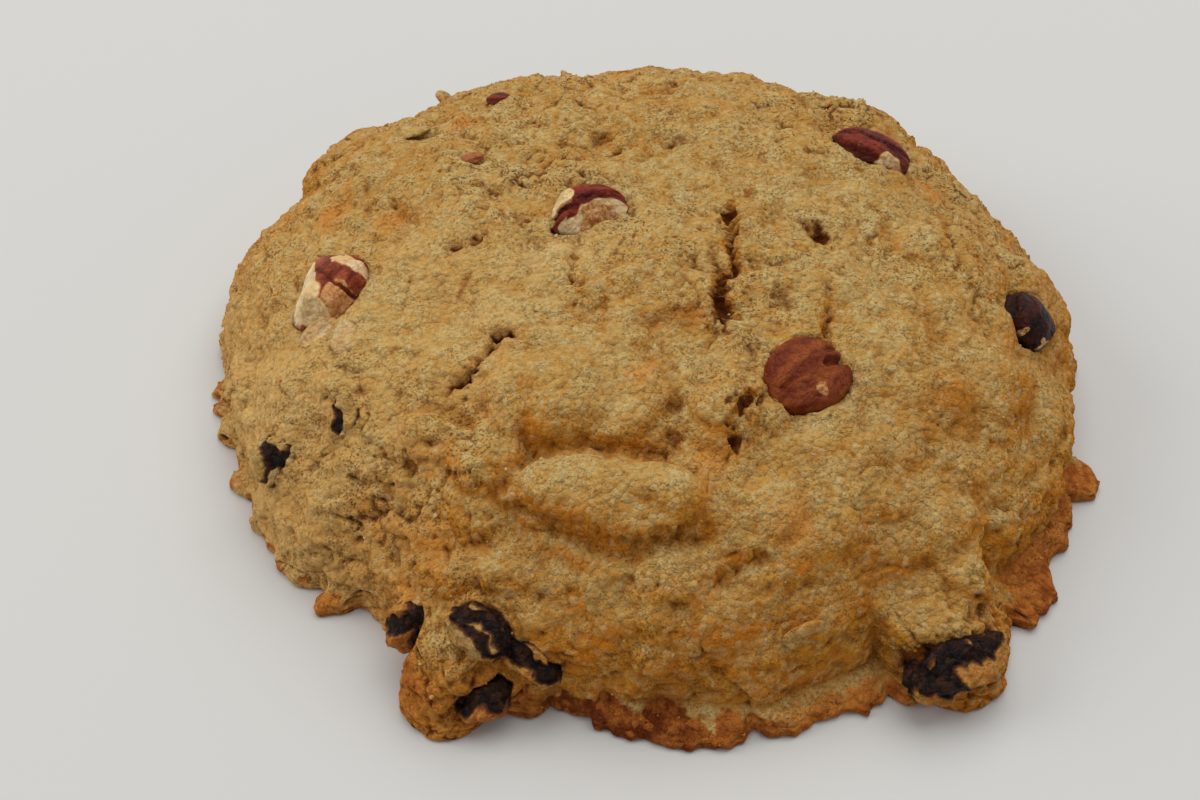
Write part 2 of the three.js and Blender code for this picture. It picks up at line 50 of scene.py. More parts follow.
SKIRT_HEIGHT = 2.6
SKIRT_REACH = 0.3
SKIRT_TUCK = 0.35  # how far its edge is drawn in where it meets the sheet
ABOVE_SHEET = 0.03  # how far the rest stays clear of it
FOOT_UNDERCUT = 0.6
UNDERCUT_HEIGHT = 3.6
DOUGH_SINK = 0.9
TOP_RINGS = 165
SKIRT_RINGS = 19
UNDERSIDE_RINGS = 44

OUTLINE = [  # azimuth, half-width in degrees, push
    (-129, 13, -2.2), (-104, 9, -1.4), (-74, 20, 0.6), (-25, 24, 1.8), (4, 20, 1.8),
    (46, 22, 1.5), (88, 18, 0.6), (118, 20, 1.6), (150, 28, 2.2), (170, 18, 3.0),
]
TABS = [  # azimuth, half-width in degrees, reach
    (-176, 3.5, 1.8), (-170, 3, 1.2), (-161, 4, 1.8), (-135, 2.2, 2.2), (-94, 3.5, 2.8),
    (-86, 8, 3.3), (-72, 7, 2.7), (-64.5, 5, 3.3), (-38.5, 5, 4.8), (-29, 7, 2.0), (-19, 3, 3.8),
    (6, 8, 1.5), (31, 5, 1.4), (58, 7, 1.6), (92, 9, 1.3), (121, 6, 1.9), (150, 8, 1.4),
]
CLUMPS = [  # azimuth, half-width in degrees, reach at the sheet, height where it ends
    (-115.2, 6.4, 6.6, 9.0), (-106.8, 4, 1.8, 7.5), (-53, 8.6, 8.0, 9.5), (-46, 5, 3.6, 4.5),
]
MOUNDS = [  # x, y, half sizes level and down the slope, turn, rise
    (-7.0, -20.3, 9.2, 7.2, 4, 2.0), (-4.8, -30.9, 9.8, 4.4, -3, 2.3),
    (-15.6, -26.6, 3.9, 3.5, 20, 1.4), (-20.8, -24.2, 3.0, 2.8, 0, 1.1),
    (1.0, -8.5, 6.5, 4.0, 10, 1.0), (6.4, -22.6, 3.4, 3.0, 0, 0.9),
    (27.6, -29.5, 4.2, 4.2, 30, 1.3), (31.5, -15.0, 5.6, 6.0, 40, 0.8),
    (-24.0, 12.0, 6.5, 6.5, 0, 0.8), (12.0, 24.0, 9.0, 6.0, -12, 0.7),
    (-33.0, -14.0, 5.0, 5.5, -40, 0.9), (-30.0, 22.0, 9.0, 7.0, 50, 1.4),
    (-17.0, 31.0, 9.5, 7.0, 25, 1.4), (23.0, 25.0, 7.5, 6.0, -42, 1.3),
    (40.0, 2.5, 4.5, 5.0, 85, 1.1),
]
HOLLOWS = [  # x, y, radius, depth
    (-5.5, 14.0, 5.0, 1.3), (2.6, -14.6, 3.6, 1.1), (4.6, -18.4, 3.0, 1.0),
    (-12.0, 5.0, 3.4, 0.6), (9.0, 5.5, 3.2, 0.7), (22.0, -3.5, 4.5, 0.6),
    (-20.5, -9.0, 4.5, 0.5),
]
CRACKS = [  # half-width, depth, how far it tore open, points across the top
    (1.3, 2.3, 1.0, [(-19.5, -20.8), (-16.7, -18.0), (-14.1, -14.6), (-12.4, -14.5)]),
    (1.2, 1.6, 0.8, [(-10.3, 2.3), (-14.3, 0.5), (-18.5, -1.1), (-20.1, -2.4)]),
    (1.0, 1.2, 0.8, [(-7.9, -4.3), (-7.4, -8.9), (-7.6, -10.8)]),
    (1.3, 1.8, 1.0, [(8.0, 2.7), (7.6, 1.2), (8.4, -4.0), (6.7, -7.5), (7.1, -11.9)]),
    (1.1, 1.5, 0.9, [(16.6, 0.2), (17.4, -1.5), (17.1, -9.3), (16.2, -14.7)]),
    (1.0, 1.3, 0.7, [(30.4, 5.9), (30.1, 2.9), (31.0, -0.8)]),
    (1.5, 1.6, 0.15, [(-12.7, -31.8), (-9.8, -33.7), (-3.1, -35.6), (4.4, -34.4)]),
    (1.3, 1.5, 0.35, [(-11.9, -26.4), (-5.7, -27.0), (-2.5, -27.6), (1.4, -26.4)]),
    (1.2, 1.2, 0.25, [(-5.1, -14.4), (-0.8, -16.6), (1.6, -19.4), (2.6, -23.2)]),
    (1.2, 1.6, 0.4, [(-12.3, -25.2), (-11.5, -26.9), (-12.4, -28.6), (-14.4, -30.3)]),
    (1.2, 2.0, 1.8, [(8.4, -21.7), (7.4, -23.9), (6.5, -25.8)]),
    (0.9, 1.0, 0.5, [(-25.6, 6.8), (-24.5, 4.9), (-23.5, 2.9)]),
    (0.9, 1.0, 0.2, [(-17.1, -5.2), (-18.1, -7.0), (-18.9, -8.8)]),
    (1.2, 1.3, 0.5, [(5.7, -37.2), (7.4, -36.2), (8.9, -35.3)]),
    (1.0, 1.2, 0.5, [(-28.0, -25.5), (-25.5, -27.6), (-23.6, -30.2)]),
    (1.0, 1.2, 0.5, [(22.5, 6.5), (24.0, 3.0), (23.6, -1.0)]),
    (1.1, 1.3, 0.5, [(-2.0, 27.0), (2.5, 25.4), (5.0, 28.4)]),
    (1.0, 1.2, 0.5, [(22.0, 26.0), (19.5, 30.5), (20.5, 34.0)]),
    (1.0, 1.2, 0.5, [(-17.0, 33.5), (-12.5, 36.0), (-9.0, 35.0)]),
]
CRACK_SLOT = 0.32  # where it tore, a crack is a narrow slot in a wider, shallow sag
CRACK_SAG = 0.25
CRACK_BRANCHES = 2.2  # how far fine branches run beside it, in half-widths
BIG_CRAGS = (11, 170, (4.0, 7.0), (0.5, 1.1))  # seed, how many, radius, rise
SMALL_CRAGS = (23, 760, (1.9, 3.3), (0.4, 0.8))
RIM_CRAGS = (5, 110, (1.4, 3.6), (0.1, 0.5))


def clamp(values):
    return np.clip(values, 0, 1)


def cap(away):
    """1 in the middle, sinking to 0 at a distance of 1 and beyond."""
    return np.maximum(1 - away**2, 0)


def dome_radius(height):
    return COOKIE_RADIUS * (1 - (height / COOKIE_HEIGHT) ** 2) ** (1 / SHOULDER)


def on_top(x, y):
    spread = math.hypot(x, y) / COOKIE_RADIUS
    return np.array([x, y, COOKIE_HEIGHT * math.sqrt(1 - spread**SHOULDER)])


def around(azimuth, radius, height):
    """Points at an azimuth in radians, a radius and a height."""
    parts = np.broadcast_arrays(radius * np.cos(azimuth), radius * np.sin(azimuth), height)
    return np.stack(parts, -1).astype(float)


def length(vectors):
    return np.linalg.norm(vectors, axis=-1)


def unit(vectors):
    return vectors / length(vectors)[..., None]


def dome_normal(points):
    radius = np.maximum(np.hypot(points[..., 0], points[..., 1]), 1e-6)
    slope = SHOULDER * (radius / COOKIE_RADIUS) ** (SHOULDER - 1) / COOKIE_RADIUS / radius
    rise = 2 * points[..., 2] / COOKIE_HEIGHT**2
    return unit(np.stack([slope * points[..., 0], slope * points[..., 1], rise], -1))


def dome_profile(steps):
    """Radius and height at equal steps down the dome, from the middle to the skirt."""
    angle = math.acos(SKIRT_HEIGHT / COOKIE_HEIGHT) * np.arange(4001) / 4000
    radius = COOKIE_RADIUS * np.sin(angle) ** (2 / SHOULDER)
    height = COOKIE_HEIGHT * np.cos(angle)
    walked = np.concatenate([[0], np.cumsum(np.hypot(np.diff(radius), np.diff(height)))])
    at = np.searchsorted(walked, walked[-1] * np.arange(steps + 1) / steps - 1e-12)
    return radius[at], height[at]


WORD_RANGE = 2**32  # how many values a 32-bit word has


def seeded_random(seed):
    """A small repeatable generator of numbers from 0 to 1, the same one as the frame's."""
    word = WORD_RANGE - 1
    state = seed
    while True:
        state = (state + 0x6D2B79F5) & word
        mixed = ((state ^ (state >> 15)) * (1 | state)) & word
        mixed = ((mixed + (mixed ^ (mixed >> 7)) * (61 | mixed)) & word) ^ mixed
        yield ((mixed ^ (mixed >> 14)) & word) / WORD_RANGE


def scatter_crags(seed, count, sizes, rises, on_rim=False):
    """Crags placed by chance, even over the dome's area or along its rim."""
    draw = seeded_random(seed)
    radii, heights = dome_profile(400)
    crags = []
    while len(crags) < count:
        kept, radius, height = True, COOKIE_RADIUS, 0
        if not on_rim:
            spot = int(next(draw) * len(radii))
            radius, height = radii[spot], heights[spot]
            kept = next(draw) * COOKIE_RADIUS < radius
        middle = around(next(draw) * 2 * math.pi, radius, height)
        size, rise = (low + (high - low) * next(draw) for low, high in (sizes, rises))
        if kept:
            crags.append((middle, size, rise))
    return crags


def crag_height(points, crags):
    """Crags are rounded caps, and where two meet they leave a crease."""
    highest = np.zeros(len(points))
    for middle, size, rise in crags:
        away = ((points - middle) ** 2).sum(-1) / size**2
        np.maximum(highest, rise * (1 - away), out=highest)
    return highest


def surface_axes(point, turn):
    """Level, along the slope and outwards at a point of the dome, turned about the last."""
    out = dome_normal(point)
    level = unit(np.array([1.0, 0, 0]) - out * out[0])
    side = np.cross(out, level)
    angle = math.radians(turn)
    level = level * math.cos(angle) + side * math.sin(angle)
    return np.stack([level, np.cross(out, level), out])


def mound_height(points, mound):
    x, y, long, deep, turn, rise = mound
    middle = on_top(x, y)
    offset = (points - middle) @ surface_axes(middle, turn).T / (long, deep, deep)
    return rise * np.maximum(1 - (offset**2).sum(-1), 0) ** 0.6


def round_spots(points, spots, edge):
    """1 in the middle of each spot, given by x, y and radius, and 0 outside them."""
    strongest = np.zeros(len(points))
    for x, y, radius in spots:
        away = length(points - on_top(x, y)) / radius
        strongest = np.maximum(strongest, clamp(edge - away))
    return strongest


def distance_to_line(points, corners):
    nearest = np.full(len(points), np.inf)
    for start, end in zip(corners, corners[1:]):
        along = clamp((points - start) @ (end - start) / ((end - start) ** 2).sum())
        gap = points - start - along[:, None] * (end - start)
        nearest = np.minimum(nearest, length(gap))
    return nearest


def cell_random(cells, seed):
    """A repeatable number from 0 to 1 for every whole-number cell of space."""
    cells = cells.astype(np.int64).astype(np.uint32)
    mixed = cells[..., 0] * np.uint32(0x8DA6B343) ^ cells[..., 1] * np.uint32(0xD8163841)
    mixed ^= cells[..., 2] * np.uint32(0xCB1AB31F) ^ np.uint32(seed * 0x9E3779B1 % WORD_RANGE)
    for shift, factor in ((15, 0x2C1B3C6D), (12, 0x297A2D39)):
        mixed = (mixed ^ (mixed >> np.uint32(shift))) * np.uint32(factor)
    return (mixed ^ (mixed >> np.uint32(15))) / WORD_RANGE


def soft_noise(points, cell, seed):
    """Smooth hills and dips from -1 to 1, about one to a cell."""
    place = points / cell
    corner = np.floor(place)
    blend = place - corner
    blend = blend * blend * (3 - 2 * blend)
    total = 0
    for step in np.ndindex(2, 2, 2):
        weight = np.prod(np.where(step, blend, 1 - blend), axis=-1)
        total = total + weight * cell_random(corner + step, seed)
    return 2 * total - 1


def cells_around(points, cell, seed):
    """The 27 cells about each point, and a place by chance in every one of them."""
    home = np.floor(points / cell)
    for step in np.ndindex(3, 3, 3):
        near = home + step - 1
        yield near, np.stack([cell_random(near, seed + axis) for axis in range(3)], -1)


def crumb_caps(points, cell, seed):
    """Rounded crumbs of uneven size, about one to a cell: 0 in the creases, up to 1 on top."""
    highest = np.zeros(len(points))
    for near, jitter in cells_around(points, cell, seed):
        size = 0.62 + 0.4 * cell_random(near, seed + 3)
        away = ((points / cell - near - 0.1 - 0.8 * jitter) ** 2).sum(-1) / size**2
        highest = np.maximum(highest, size * (1 - away))
    return highest


def crack_net(points, cell, seed, wide=0.09):
    """0 away from them and 1 in the middle of the creases between cells of uneven shape."""
    nearest = second = np.full(len(points), 9.0)
    for near, jitter in cells_around(points, cell, seed):
        away = length(points / cell - near - jitter)
        second = np.minimum(second, np.maximum(nearest, away))
        nearest = np.minimum(nearest, away)
    return clamp(1 - (second - nearest) / wide)


# A turn that keeps the layers of noise from lining up.
TURNED = np.array([[0.36, 0.48, -0.8], [-0.8, 0.6, 0.0], [0.48, 0.64, 0.6]])


def swell(azimuth, at, half, power):
    """1 at one azimuth in degrees, sinking to 0 at its half-width."""
    apart = np.abs(np.degrees(azimuth) - at) % 360
    return cap(np.minimum(apart, 360 - apart) / half) ** power


def outline_push(azimuth, radius):
    push = sum(far * swell(azimuth, at, half, 2) for at, half, far in OUTLINE)
    return push * np.minimum(1, radius / COOKIE_RADIUS) ** 3


def clump_reach(azimuth, height):
    reach = np.zeros(np.broadcast(azimuth, height).shape)
    for at, half, far, tall in CLUMPS:
        level = cap(height / tall) ** 0.7
        reach = np.maximum(reach, far * swell(azimuth, at, half, 0.6) * level)
    return reach


big_crags = scatter_crags(*BIG_CRAGS)
small_crags = scatter_crags(*SMALL_CRAGS)
rim_crags = scatter_crags(*RIM_CRAGS, on_rim=True)


def relief_without_cracks(points):
    height = crag_height(points, big_crags) + crag_height(points, small_crags) - DOUGH_SINK
    height += sum(mound_height(points, mound) for mound in MOUNDS)
    for x, y, radius, depth in HOLLOWS:
        away = length(points - on_top(x, y)) / radius
        height -= depth * cap(away) ** 2
    return height


def warp(points, cell, amount, seed):
    """Shifts points unevenly, so that what is drawn with them has ragged edges."""
    shift = [soft_noise(points, cell, seed + axis) for axis in range(3)]
    return points + amount * np.stack(shift, -1)


def crack_depth(points):
    """How far the cracks let the surface down, and the shade painted dark inside them."""
    ragged = warp(warp(points, 3.0, 0.8, 41), 0.8, 0.45, 51)
    open_share = np.clip(0.7 + 0.9 * soft_noise(points, 2.2, 56), 0.15, 1.3)
    fissures = crack_net(warp(points, 1.0, 0.35, 46), 2.4, 49)
    depth = np.zeros(len(points))
    dark = np.zeros(len(points))
    for wide, deep, torn, corners in CRACKS:
        away = distance_to_line(ragged, [on_top(x, y) for x, y in corners]) / wide
        sag = cap(away) ** 2 * (CRACK_SAG + 0.4 * max(0, 1 - torn))
        slot_width = CRACK_SLOT * open_share * torn**0.5
        slot = clamp(1 - away / slot_width) ** 0.6 * min(torn, 1)
        branch = fissures * clamp(1 - away / CRACK_BRANCHES) * torn
        depth = np.maximum(depth, deep * (sag + (1.1 - CRACK_SAG) * slot) + 0.5 * branch)
        dark = np.maximum(dark, np.maximum(1.3 * slot * min(1, deep / 1.5), 0.6 * branch))
    return depth, np.minimum(dark, 1)


def skirt_reach(azimuth):
    rim = around(azimuth, COOKIE_RADIUS, 0)
    reach = np.full(len(rim), SKIRT_REACH)
    for at, half, far in TABS:
        reach = np.maximum(reach, far * swell(azimuth, at, half, 0.5))
    ragged = 0.55 * soft_noise(rim, 1.5, 61) + 0.35 * soft_noise(rim, 0.7, 62)
    return reach + crag_height(rim, rim_crags) + ragged * np.minimum(1, 0.3 + 0.5 * reach)


def sideways_reach(azimuth, radius, height):
    undercut = FOOT_UNDERCUT * cap((height - UNDERCUT_HEIGHT) / UNDERCUT_HEIGHT)
    return outline_push(azimuth, radius) + clump_reach(azimuth, height) - undercut


def baked_points(azimuth, radius, height, lift):
    plain = around(azimuth, radius, height)
    risen = plain + dome_normal(plain) * np.reshape(lift, (-1, 1))
    return risen + around(azimuth, sideways_reach(azimuth, radius, height), 0)


def ring_azimuths(ring):
    return np.arange(max(1, 6 * ring)) / max(1, 6 * ring) * 2 * math.pi


def stitch(outer, inner, up=True):
    """Triangles between two closed rings of points that start at the same azimuth."""
    faces = []
    here, there = 0, 0
    while here < len(outer) or there < len(inner):
        step_outer = (here + 1) / len(outer) <= (there + 1) / len(inner)
        a, b = outer[here % len(outer)], inner[there % len(inner)]
        if step_outer and here < len(outer):
            c = outer[(here + 1) % len(outer)]
            here += 1
        else:
            c = inner[(there + 1) % len(inner)]
            there += 1
        faces.append((a, c, b) if up else (a, b, c))
    return faces


def face_normals(points, faces):
    """Outwards from each triangle, as long as twice its area."""
    corners = points[faces]
    return np.cross(corners[:, 1] - corners[:, 0], corners[:, 2] - corners[:, 0])


def mesh_normals(points, faces):
    across = face_normals(points, faces)
    total = np.zeros_like(points)
    for corner, axis in np.ndindex(3, 3):
        total[:, axis] += np.bincount(faces[:, corner], across[:, axis], len(points))
    return total / np.maximum(length(total), 1e-12)[:, None]


def evened_out(points, faces, rounds):
    """The points after each has moved to the middle of its neighbours that many times."""
    corners = faces.ravel()
    shares = np.bincount(corners, minlength=len(points))
    for _ in range(rounds):
        middles = np.repeat(points[faces].mean(1), 3, axis=0)
        sums = [np.bincount(corners, middles[:, axis], len(points)) for axis in range(3)]
        points = np.stack(sums, -1) / shares[:, None]
    return points


def new_piece(name, points, faces, masks=None, smooth=True):
    """A mesh object from points in millimetres, with one number a point for each mask."""
    mesh = bpy.data.meshes.new(name)
    mesh.from_pydata((np.asarray(points) * MM).tolist(), [], np.asarray(faces).tolist())
    for mask_name, values in (masks or {}).items():
        mesh.attributes.new(mask_name, "FLOAT", "POINT").data.foreach_set("value", values)
    mesh.polygons.foreach_set("use_smooth", [smooth] * len(mesh.polygons))
    mesh.update()
    piece = bpy.data.objects.new(name, mesh)
    bpy.context.scene.collection.objects.link(piece)
    return piece


def ride_as(piece, slot, *nodes):
    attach(piece, "root")
    if nodes:
        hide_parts(*nodes)


wall_rings = TOP_RINGS - SKIRT_RINGS
profile_radius, profile_height = dome_profile(wall_rings)
ring_of_point = np.concatenate([np.full(max(1, 6 * k), k) for k in range(TOP_RINGS + 1)])
azimuth = np.concatenate([ring_azimuths(k) for k in range(TOP_RINGS + 1)])
on_wall = np.minimum(ring_of_point, wall_rings)
on_sheet = ring_of_point == TOP_RINGS
plain = around(azimuth, profile_radius[on_wall], profile_height[on_wall])
cracked, crack_shade = crack_depth(plain)
lift = relief_without_cracks(plain) - cracked
dough = baked_points(azimuth, profile_radius[on_wall], profile_height[on_wall], lift)

# The last rings leave the wall and form the thin crust that spread on the sheet.
down = clamp((ring_of_point - wall_rings) / SKIRT_RINGS)
skirt = down > 0
skirt_height = dough[:, 2] * (1 - down) ** 0.8
tuck = np.where(on_sheet, SKIRT_TUCK, 0)
crust_reach = skirt_reach(azimuth)
spread = crust_reach * np.sin(np.minimum(1, down * 1.3) * math.pi / 2) - tuck
spread += clump_reach(azimuth, skirt_height) - clump_reach(azimuth, SKIRT_HEIGHT)
dough = np.where(skirt[:, None], dough + around(azimuth, spread, 0), dough)
dough[:, 2] = np.where(skirt, skirt_height, dough[:, 2])

ring_points = [np.flatnonzero(ring_of_point == k) for k in range(TOP_RINGS + 1)]
top_faces = []
for k in range(1, TOP_RINGS + 1):
    top_faces += stitch(ring_points[k], ring_points[k - 1])
top_faces = np.array(top_faces)
macro_normals = mesh_normals(dough, top_faces)

# Lumps, crumbs, pits and short crevices stand along the surface of the shaped dough.
SMOOTH_MOUNDS = 2  # the first mounds of the list puffed up and kept a smooth skin
CRUMB_SINK = 0.2  # what the crumbs add on the whole is taken off again
PILLOW_DEPTH, CREVICE_DEPTH, LEDGE_DEPTH, PIT_DEPTH = 0.35, 0.5, 0.4, 0.9
PITS = [  # x, y, radius of the small holes where the crust tore or a bubble broke
    (-8.6, 11.4, 0.7), (-10.7, 9.1, 0.6), (8.0, 2.7, 0.9), (16.6, 0.2, 0.9), (-3.5, 13.2, 0.8),
    (16.1, -14.5, 0.5), (25.7, -34.5, 0.9), (27.4, -33.6, 0.5), (-13.0, 8.0, 0.5), (1.9, 14.5, 0.6),
]
steep = clamp(1.25 * (1 - macro_normals[:, 2]))
smooth = clamp(sum(mound_height(plain, mound) for mound in MOUNDS[:SMOOTH_MOUNDS]))
patchy = np.clip(0.5 + 0.012 * dough[:, 1] + 0.75 * soft_noise(dough, 9.0, 71), 0.1, 1)
patchy *= 1 - 0.75 * smooth
layered = dough * (1, 1, 1.7)
lumps = crumb_caps(warp(layered, 1.7, 0.6, 81), 2.5, 91)
grains = crumb_caps(warp(layered @ TURNED, 0.9, 0.3, 101), 1.3, 111)
billows = np.abs(soft_noise(warp(layered @ TURNED, 1.6, 0.5, 121), 1.5, 126))
fine = soft_noise(dough @ TURNED, 0.6, 131)
swayed = warp(warp(layered, 2.2, 0.8, 136), 0.8, 0.35, 139)
pillows = crack_net(swayed, 3.2, 141, 0.7) * (0.4 + 0.6 * patchy) * (1 - 0.7 * smooth)
crevices = crack_net(swayed, 3.2, 141, 0.18)
crevices *= clamp(4 * soft_noise(layered, 1.7, 151) - 0.15)
crevices *= (0.3 + 0.7 * patchy) * (1 - 0.7 * smooth)
ledges = crack_net(warp(dough * (0.55, 0.55, 1.5), 1.4, 0.5, 156), 3.0, 159) * steep
rugged = clamp(clump_reach(azimuth, plain[:, 2]) / 2)
clump_crevices = crack_net(warp(layered, 0.8, 0.35, 139), 2.4, 143, 0.2)
crevices = np.maximum(crevices, 0.7 * rugged * clump_crevices)
crumb = (0.1 + 0.14 * patchy + 0.14 * steep + 0.45 * rugged) * lumps
crumb += (0.1 + 0.2 * patchy + 0.14 * steep + 0.3 * rugged) * grains - 0.35 * rugged
crumb = (crumb + 0.1 * billows * (0.5 + patchy)) * (1 - 0.5 * smooth) + 0.07 * fine
torn = warp(warp(plain, 1.1, 0.6, 161), 0.5, 0.3, 164)
pitted = round_spots(torn, PITS, 1.25)
micro = crumb - CRUMB_SINK - PILLOW_DEPTH * pillows - CREVICE_DEPTH * crevices
micro = micro - LEDGE_DEPTH * ledges - PIT_DEPTH * pitted
micro *= clamp(dough[:, 2] / 1.2)
dough += macro_normals * micro[:, None]
dough[:, 2] = np.maximum(dough[:, 2], np.where(on_sheet, 0, ABOVE_SHEET))

# How far each point lies in a hollow of its neighbourhood, near and wide, in millimetres, which
# sets the shade painted into the creases.
near_hollow, wide_hollow = (
    ((evened_out(dough, top_faces, rounds) - dough) * macro_normals).sum(-1)
    for rounds in (6, 45)
)

# The underside is what the sheet left: flat, with shallow pores, drawn in from the rim.
rim = ring_points[TOP_RINGS]
rim_azimuth = azimuth[rim]
rim_radius = np.hypot(dough[rim, 0], dough[rim, 1])
underside = []
under_rings = [rim]
for k in range(UNDERSIDE_RINGS - 1, -1, -1):
    turn = ring_azimuths(k)
    radius = np.interp(turn, rim_azimuth, rim_radius, period=2 * math.pi)
    under_rings.append(len(dough) + sum(map(len, underside)) + np.arange(len(turn)))
    underside.append(around(turn, radius * k / UNDERSIDE_RINGS, 0))
underside = np.concatenate(underside)
dimples = np.maximum(crumb_caps(underside, 4.2, 171) - 0.55, 0)
underside[:, 2] = 0.5 * dimples + 0.06 * (1 + soft_noise(underside, 3.0, 181))
under_faces = []
for outer, inner in zip(under_rings, under_rings[1:]):
    under_faces += stitch(outer, inner, up=False)

body_points = np.concatenate([dough, underside])
body_faces = np.concatenate([top_faces, under_faces])

# Masks that the finish reads: painted shade in cracks, pits, crevices and creases, steepness,
# browned crust, spots, hulls, and painted light on the wall's left side.
TOASTED = [  # x, y, radius
    (-32.3, 7.8, 2.6), (-0.6, -20.0, 2.4), (-26.9, -28.3, 2.8), (-19.1, -32.7, 3.0),
    (-19.7, 21.0, 1.7), (3.9, -12.4, 1.4), (-26.0, 4.0, 2.2), (5.4, -27.6, 2.6),
    (12.0, -33.0, 2.6), (20.0, 33.0, 2.6), (-2.0, 33.0, 2.0), (30.0, 12.0, 2.0),
    (28.0, -18.0, 2.4), (-38.0, 12.0, 2.6),
]
HULLS = [  # x, y, half sizes and turn of slivers of hull and bran in the skin
    (10.0, 5.8, 1.0, 0.45, 70), (-18.1, -7.0, 1.6, 0.3, 60), (-28.8, 10.8, 1.1, 0.25, 70),
    (7.3, -23.5, 0.9, 0.35, 60), (22.0, 11.5, 0.6, 0.3, 20), (-36.0, -2.0, 0.5, 0.3, 0),
    (-7.0, 31.0, 0.7, 0.25, 50), (33.0, -9.0, 0.6, 0.25, 100), (-14.0, -22.0, 0.5, 0.25, 30),
    (4.0, 18.0, 0.6, 0.2, 120), (-24.0, -14.0, 0.7, 0.2, 150), (18.0, -26.0, 0.6, 0.25, 80),
]
BURNT = [(-91, 18, 1.0), (-31, 16, 0.5)]  # azimuth, half-width, how dark
BROWNED_UP = (-30, 16, 1.8)  # azimuth, half-width, how much higher the crust climbs
LIT_WALL_SIDE = (-160, 38)  # painted light: azimuth and half-width of the wall painted paler, where light from the left falls on it
PALE_FOOT = (-78, 26)  # and of the crumbs above the crust that stayed pale
LOBE_CLUMPS = CLUMPS[:2]  # the clump by the raisins browned more than the rest
top_points = body_points[: len(dough)]
toasted = round_spots(warp(body_points, 1.6, 0.9, 191), TOASTED, 1.3)
hulls = np.zeros(len(body_points))
frayed = warp(body_points, 0.5, 0.15, 196)
for x, y, long, wide, turn in HULLS:
    offset = (frayed - on_top(x, y)) @ surface_axes(on_top(x, y), turn).T / (long, wide, 2.0)
    hulls = np.maximum(hulls, clamp(2.5 * (1 - (offset**2).sum(-1))))
lobe = sum(far * swell(azimuth, at, half, 0.6) for at, half, far, _ in LOBE_CLUMPS)
lobe = clamp(lobe / 3) * clamp((8.5 - dough[:, 2]) / 3.5)
toasted[: len(dough)] = np.maximum(toasted[: len(dough)], lobe)
burnt = sum(share * swell(azimuth, at, half, 0.6) for at, half, share in BURNT)
edge_noise = soft_noise(dough, 1.6, 201) + 0.5 * soft_noise(dough, 0.6, 202)
rim_height = 1.3 + 1.1 * burnt * (1 - lobe) + 5.2 * lobe
rim_height += BROWNED_UP[2] * swell(azimuth, *BROWNED_UP[:2], 1)
foot = clamp((rim_height + 0.7 * edge_noise - dough[:, 2]) / (0.5 + 2.0 * lobe))
foot *= clamp(0.55 + 1.2 * burnt + 0.35 * edge_noise)
flange = clamp(crust_reach / 2 - 0.4) * clamp(3 * down)
foot = np.maximum(foot, flange * clamp(0.8 + 0.5 * edge_noise))
# painted shade: the cracks, crevices, pits and ledges are darkened in colour, as shade falls in
# them
dark = clamp(crack_shade + 0.75 * crevices + 0.85 * pitted + 0.3 * ledges)
# painted shade: the deeper a point lies in a hollow, the darker its creases are painted
crease_shade = clamp(0.05 + 2.6 * near_hollow + 0.45 * wide_hollow)
# painted light: one side of the wall is painted paler and less brown, where light from the left
# falls on it
lit_side = swell(azimuth, *LIT_WALL_SIDE, 1)
pale_foot = swell(azimuth, *PALE_FOOT, 1)
pale_foot *= clamp(1 - np.abs(dough[:, 2] - 3.6) / 2.6) * (0.6 + 0.5 * edge_noise)
pale = clamp(lit_side * (0.25 + 1.2 * steep) + 0.2 * pale_foot)


def whole(top, below):
    """One value a point for all of the dough, from its top's and its underside's."""
    return np.concatenate([top, np.broadcast_to(below, len(underside))])


masks = {
    "crack": whole(dark, clamp(1.6 * dimples)),
    "crease": whole(crease_shade * (1 - 0.4 * lit_side), 0.4),
    "foot": whole(foot, 1),
    "burnt": whole(burnt * (1 - 0.6 * lobe), 0.3),
    "wall": whole(clamp(1.4 * steep) * (1 - 0.65 * lit_side), 1),
    "toasted": toasted,
    "hull": hulls,
    "rough": whole(patchy, 0.3),
    "pale": whole(pale, 0),
}
cookie = new_piece("dough", body_points, body_faces, masks)


def refit_dough():
    """Writes the dough's moved points and changed masks back into its mesh."""
    cookie.data.vertices.foreach_set("co", (body_points * MM).ravel())
    for mask_name, values in masks.items():
        cookie.data.attributes[mask_name].data.foreach_set("value", values)
    cookie.data.update()


def paint(red, green, blue):
    """A colour as a paint chart gives it, 0 to 255, turned into light."""
    values = np.array([red, green, blue]) / 255
    light = np.where(values <= 0.04045, values / 12.92, ((values + 0.055) / 1.055) ** 2.4)
    return (*light.tolist(), 1.0)


class Graph:
    """Short calls for placing and joining the nodes of one shader tree."""

    clamped = False  # whether the sums of math() are kept from 0 to 1

    def __init__(self, tree):
        self.tree = tree

    def node(self, kind, *values, **settings):
        node = self.tree.nodes.new("ShaderNode" + kind)
        for key, value in settings.items():
            setattr(node, key, value)
        for socket, value in zip(node.inputs, values):
            self.feed(socket, value)
        return node

    def feed(self, socket, value):
        if isinstance(value, bpy.types.NodeSocket):
            self.tree.links.new(value, socket)
        else:
            socket.default_value = value

    def math(self, operation, *values):
        node = self.node("Math", *values, operation=operation, use_clamp=self.clamped)
        return node.outputs[0]

    def texture(self, kind, place, size, **settings):
        """A texture whose features are that many millimetres across."""
        node = self.node(kind, place, **settings)
        node.inputs["Scale"].default_value = 1 / (size * MM)
        return node

    def noise(self, place, size, detail=3.0, roughness=0.5):
        """Smooth noise from 0 to 1."""
        node = self.texture("TexNoise", place, size)
        node.inputs["Detail"].default_value = detail
        node.inputs["Roughness"].default_value = roughness
        return node.outputs["Fac"]

    def between(self, value, low, high):
        """0 at the first of two values and 1 at the second, rising evenly between them."""
        return self.node("MapRange", value, low, high).outputs["Result"]


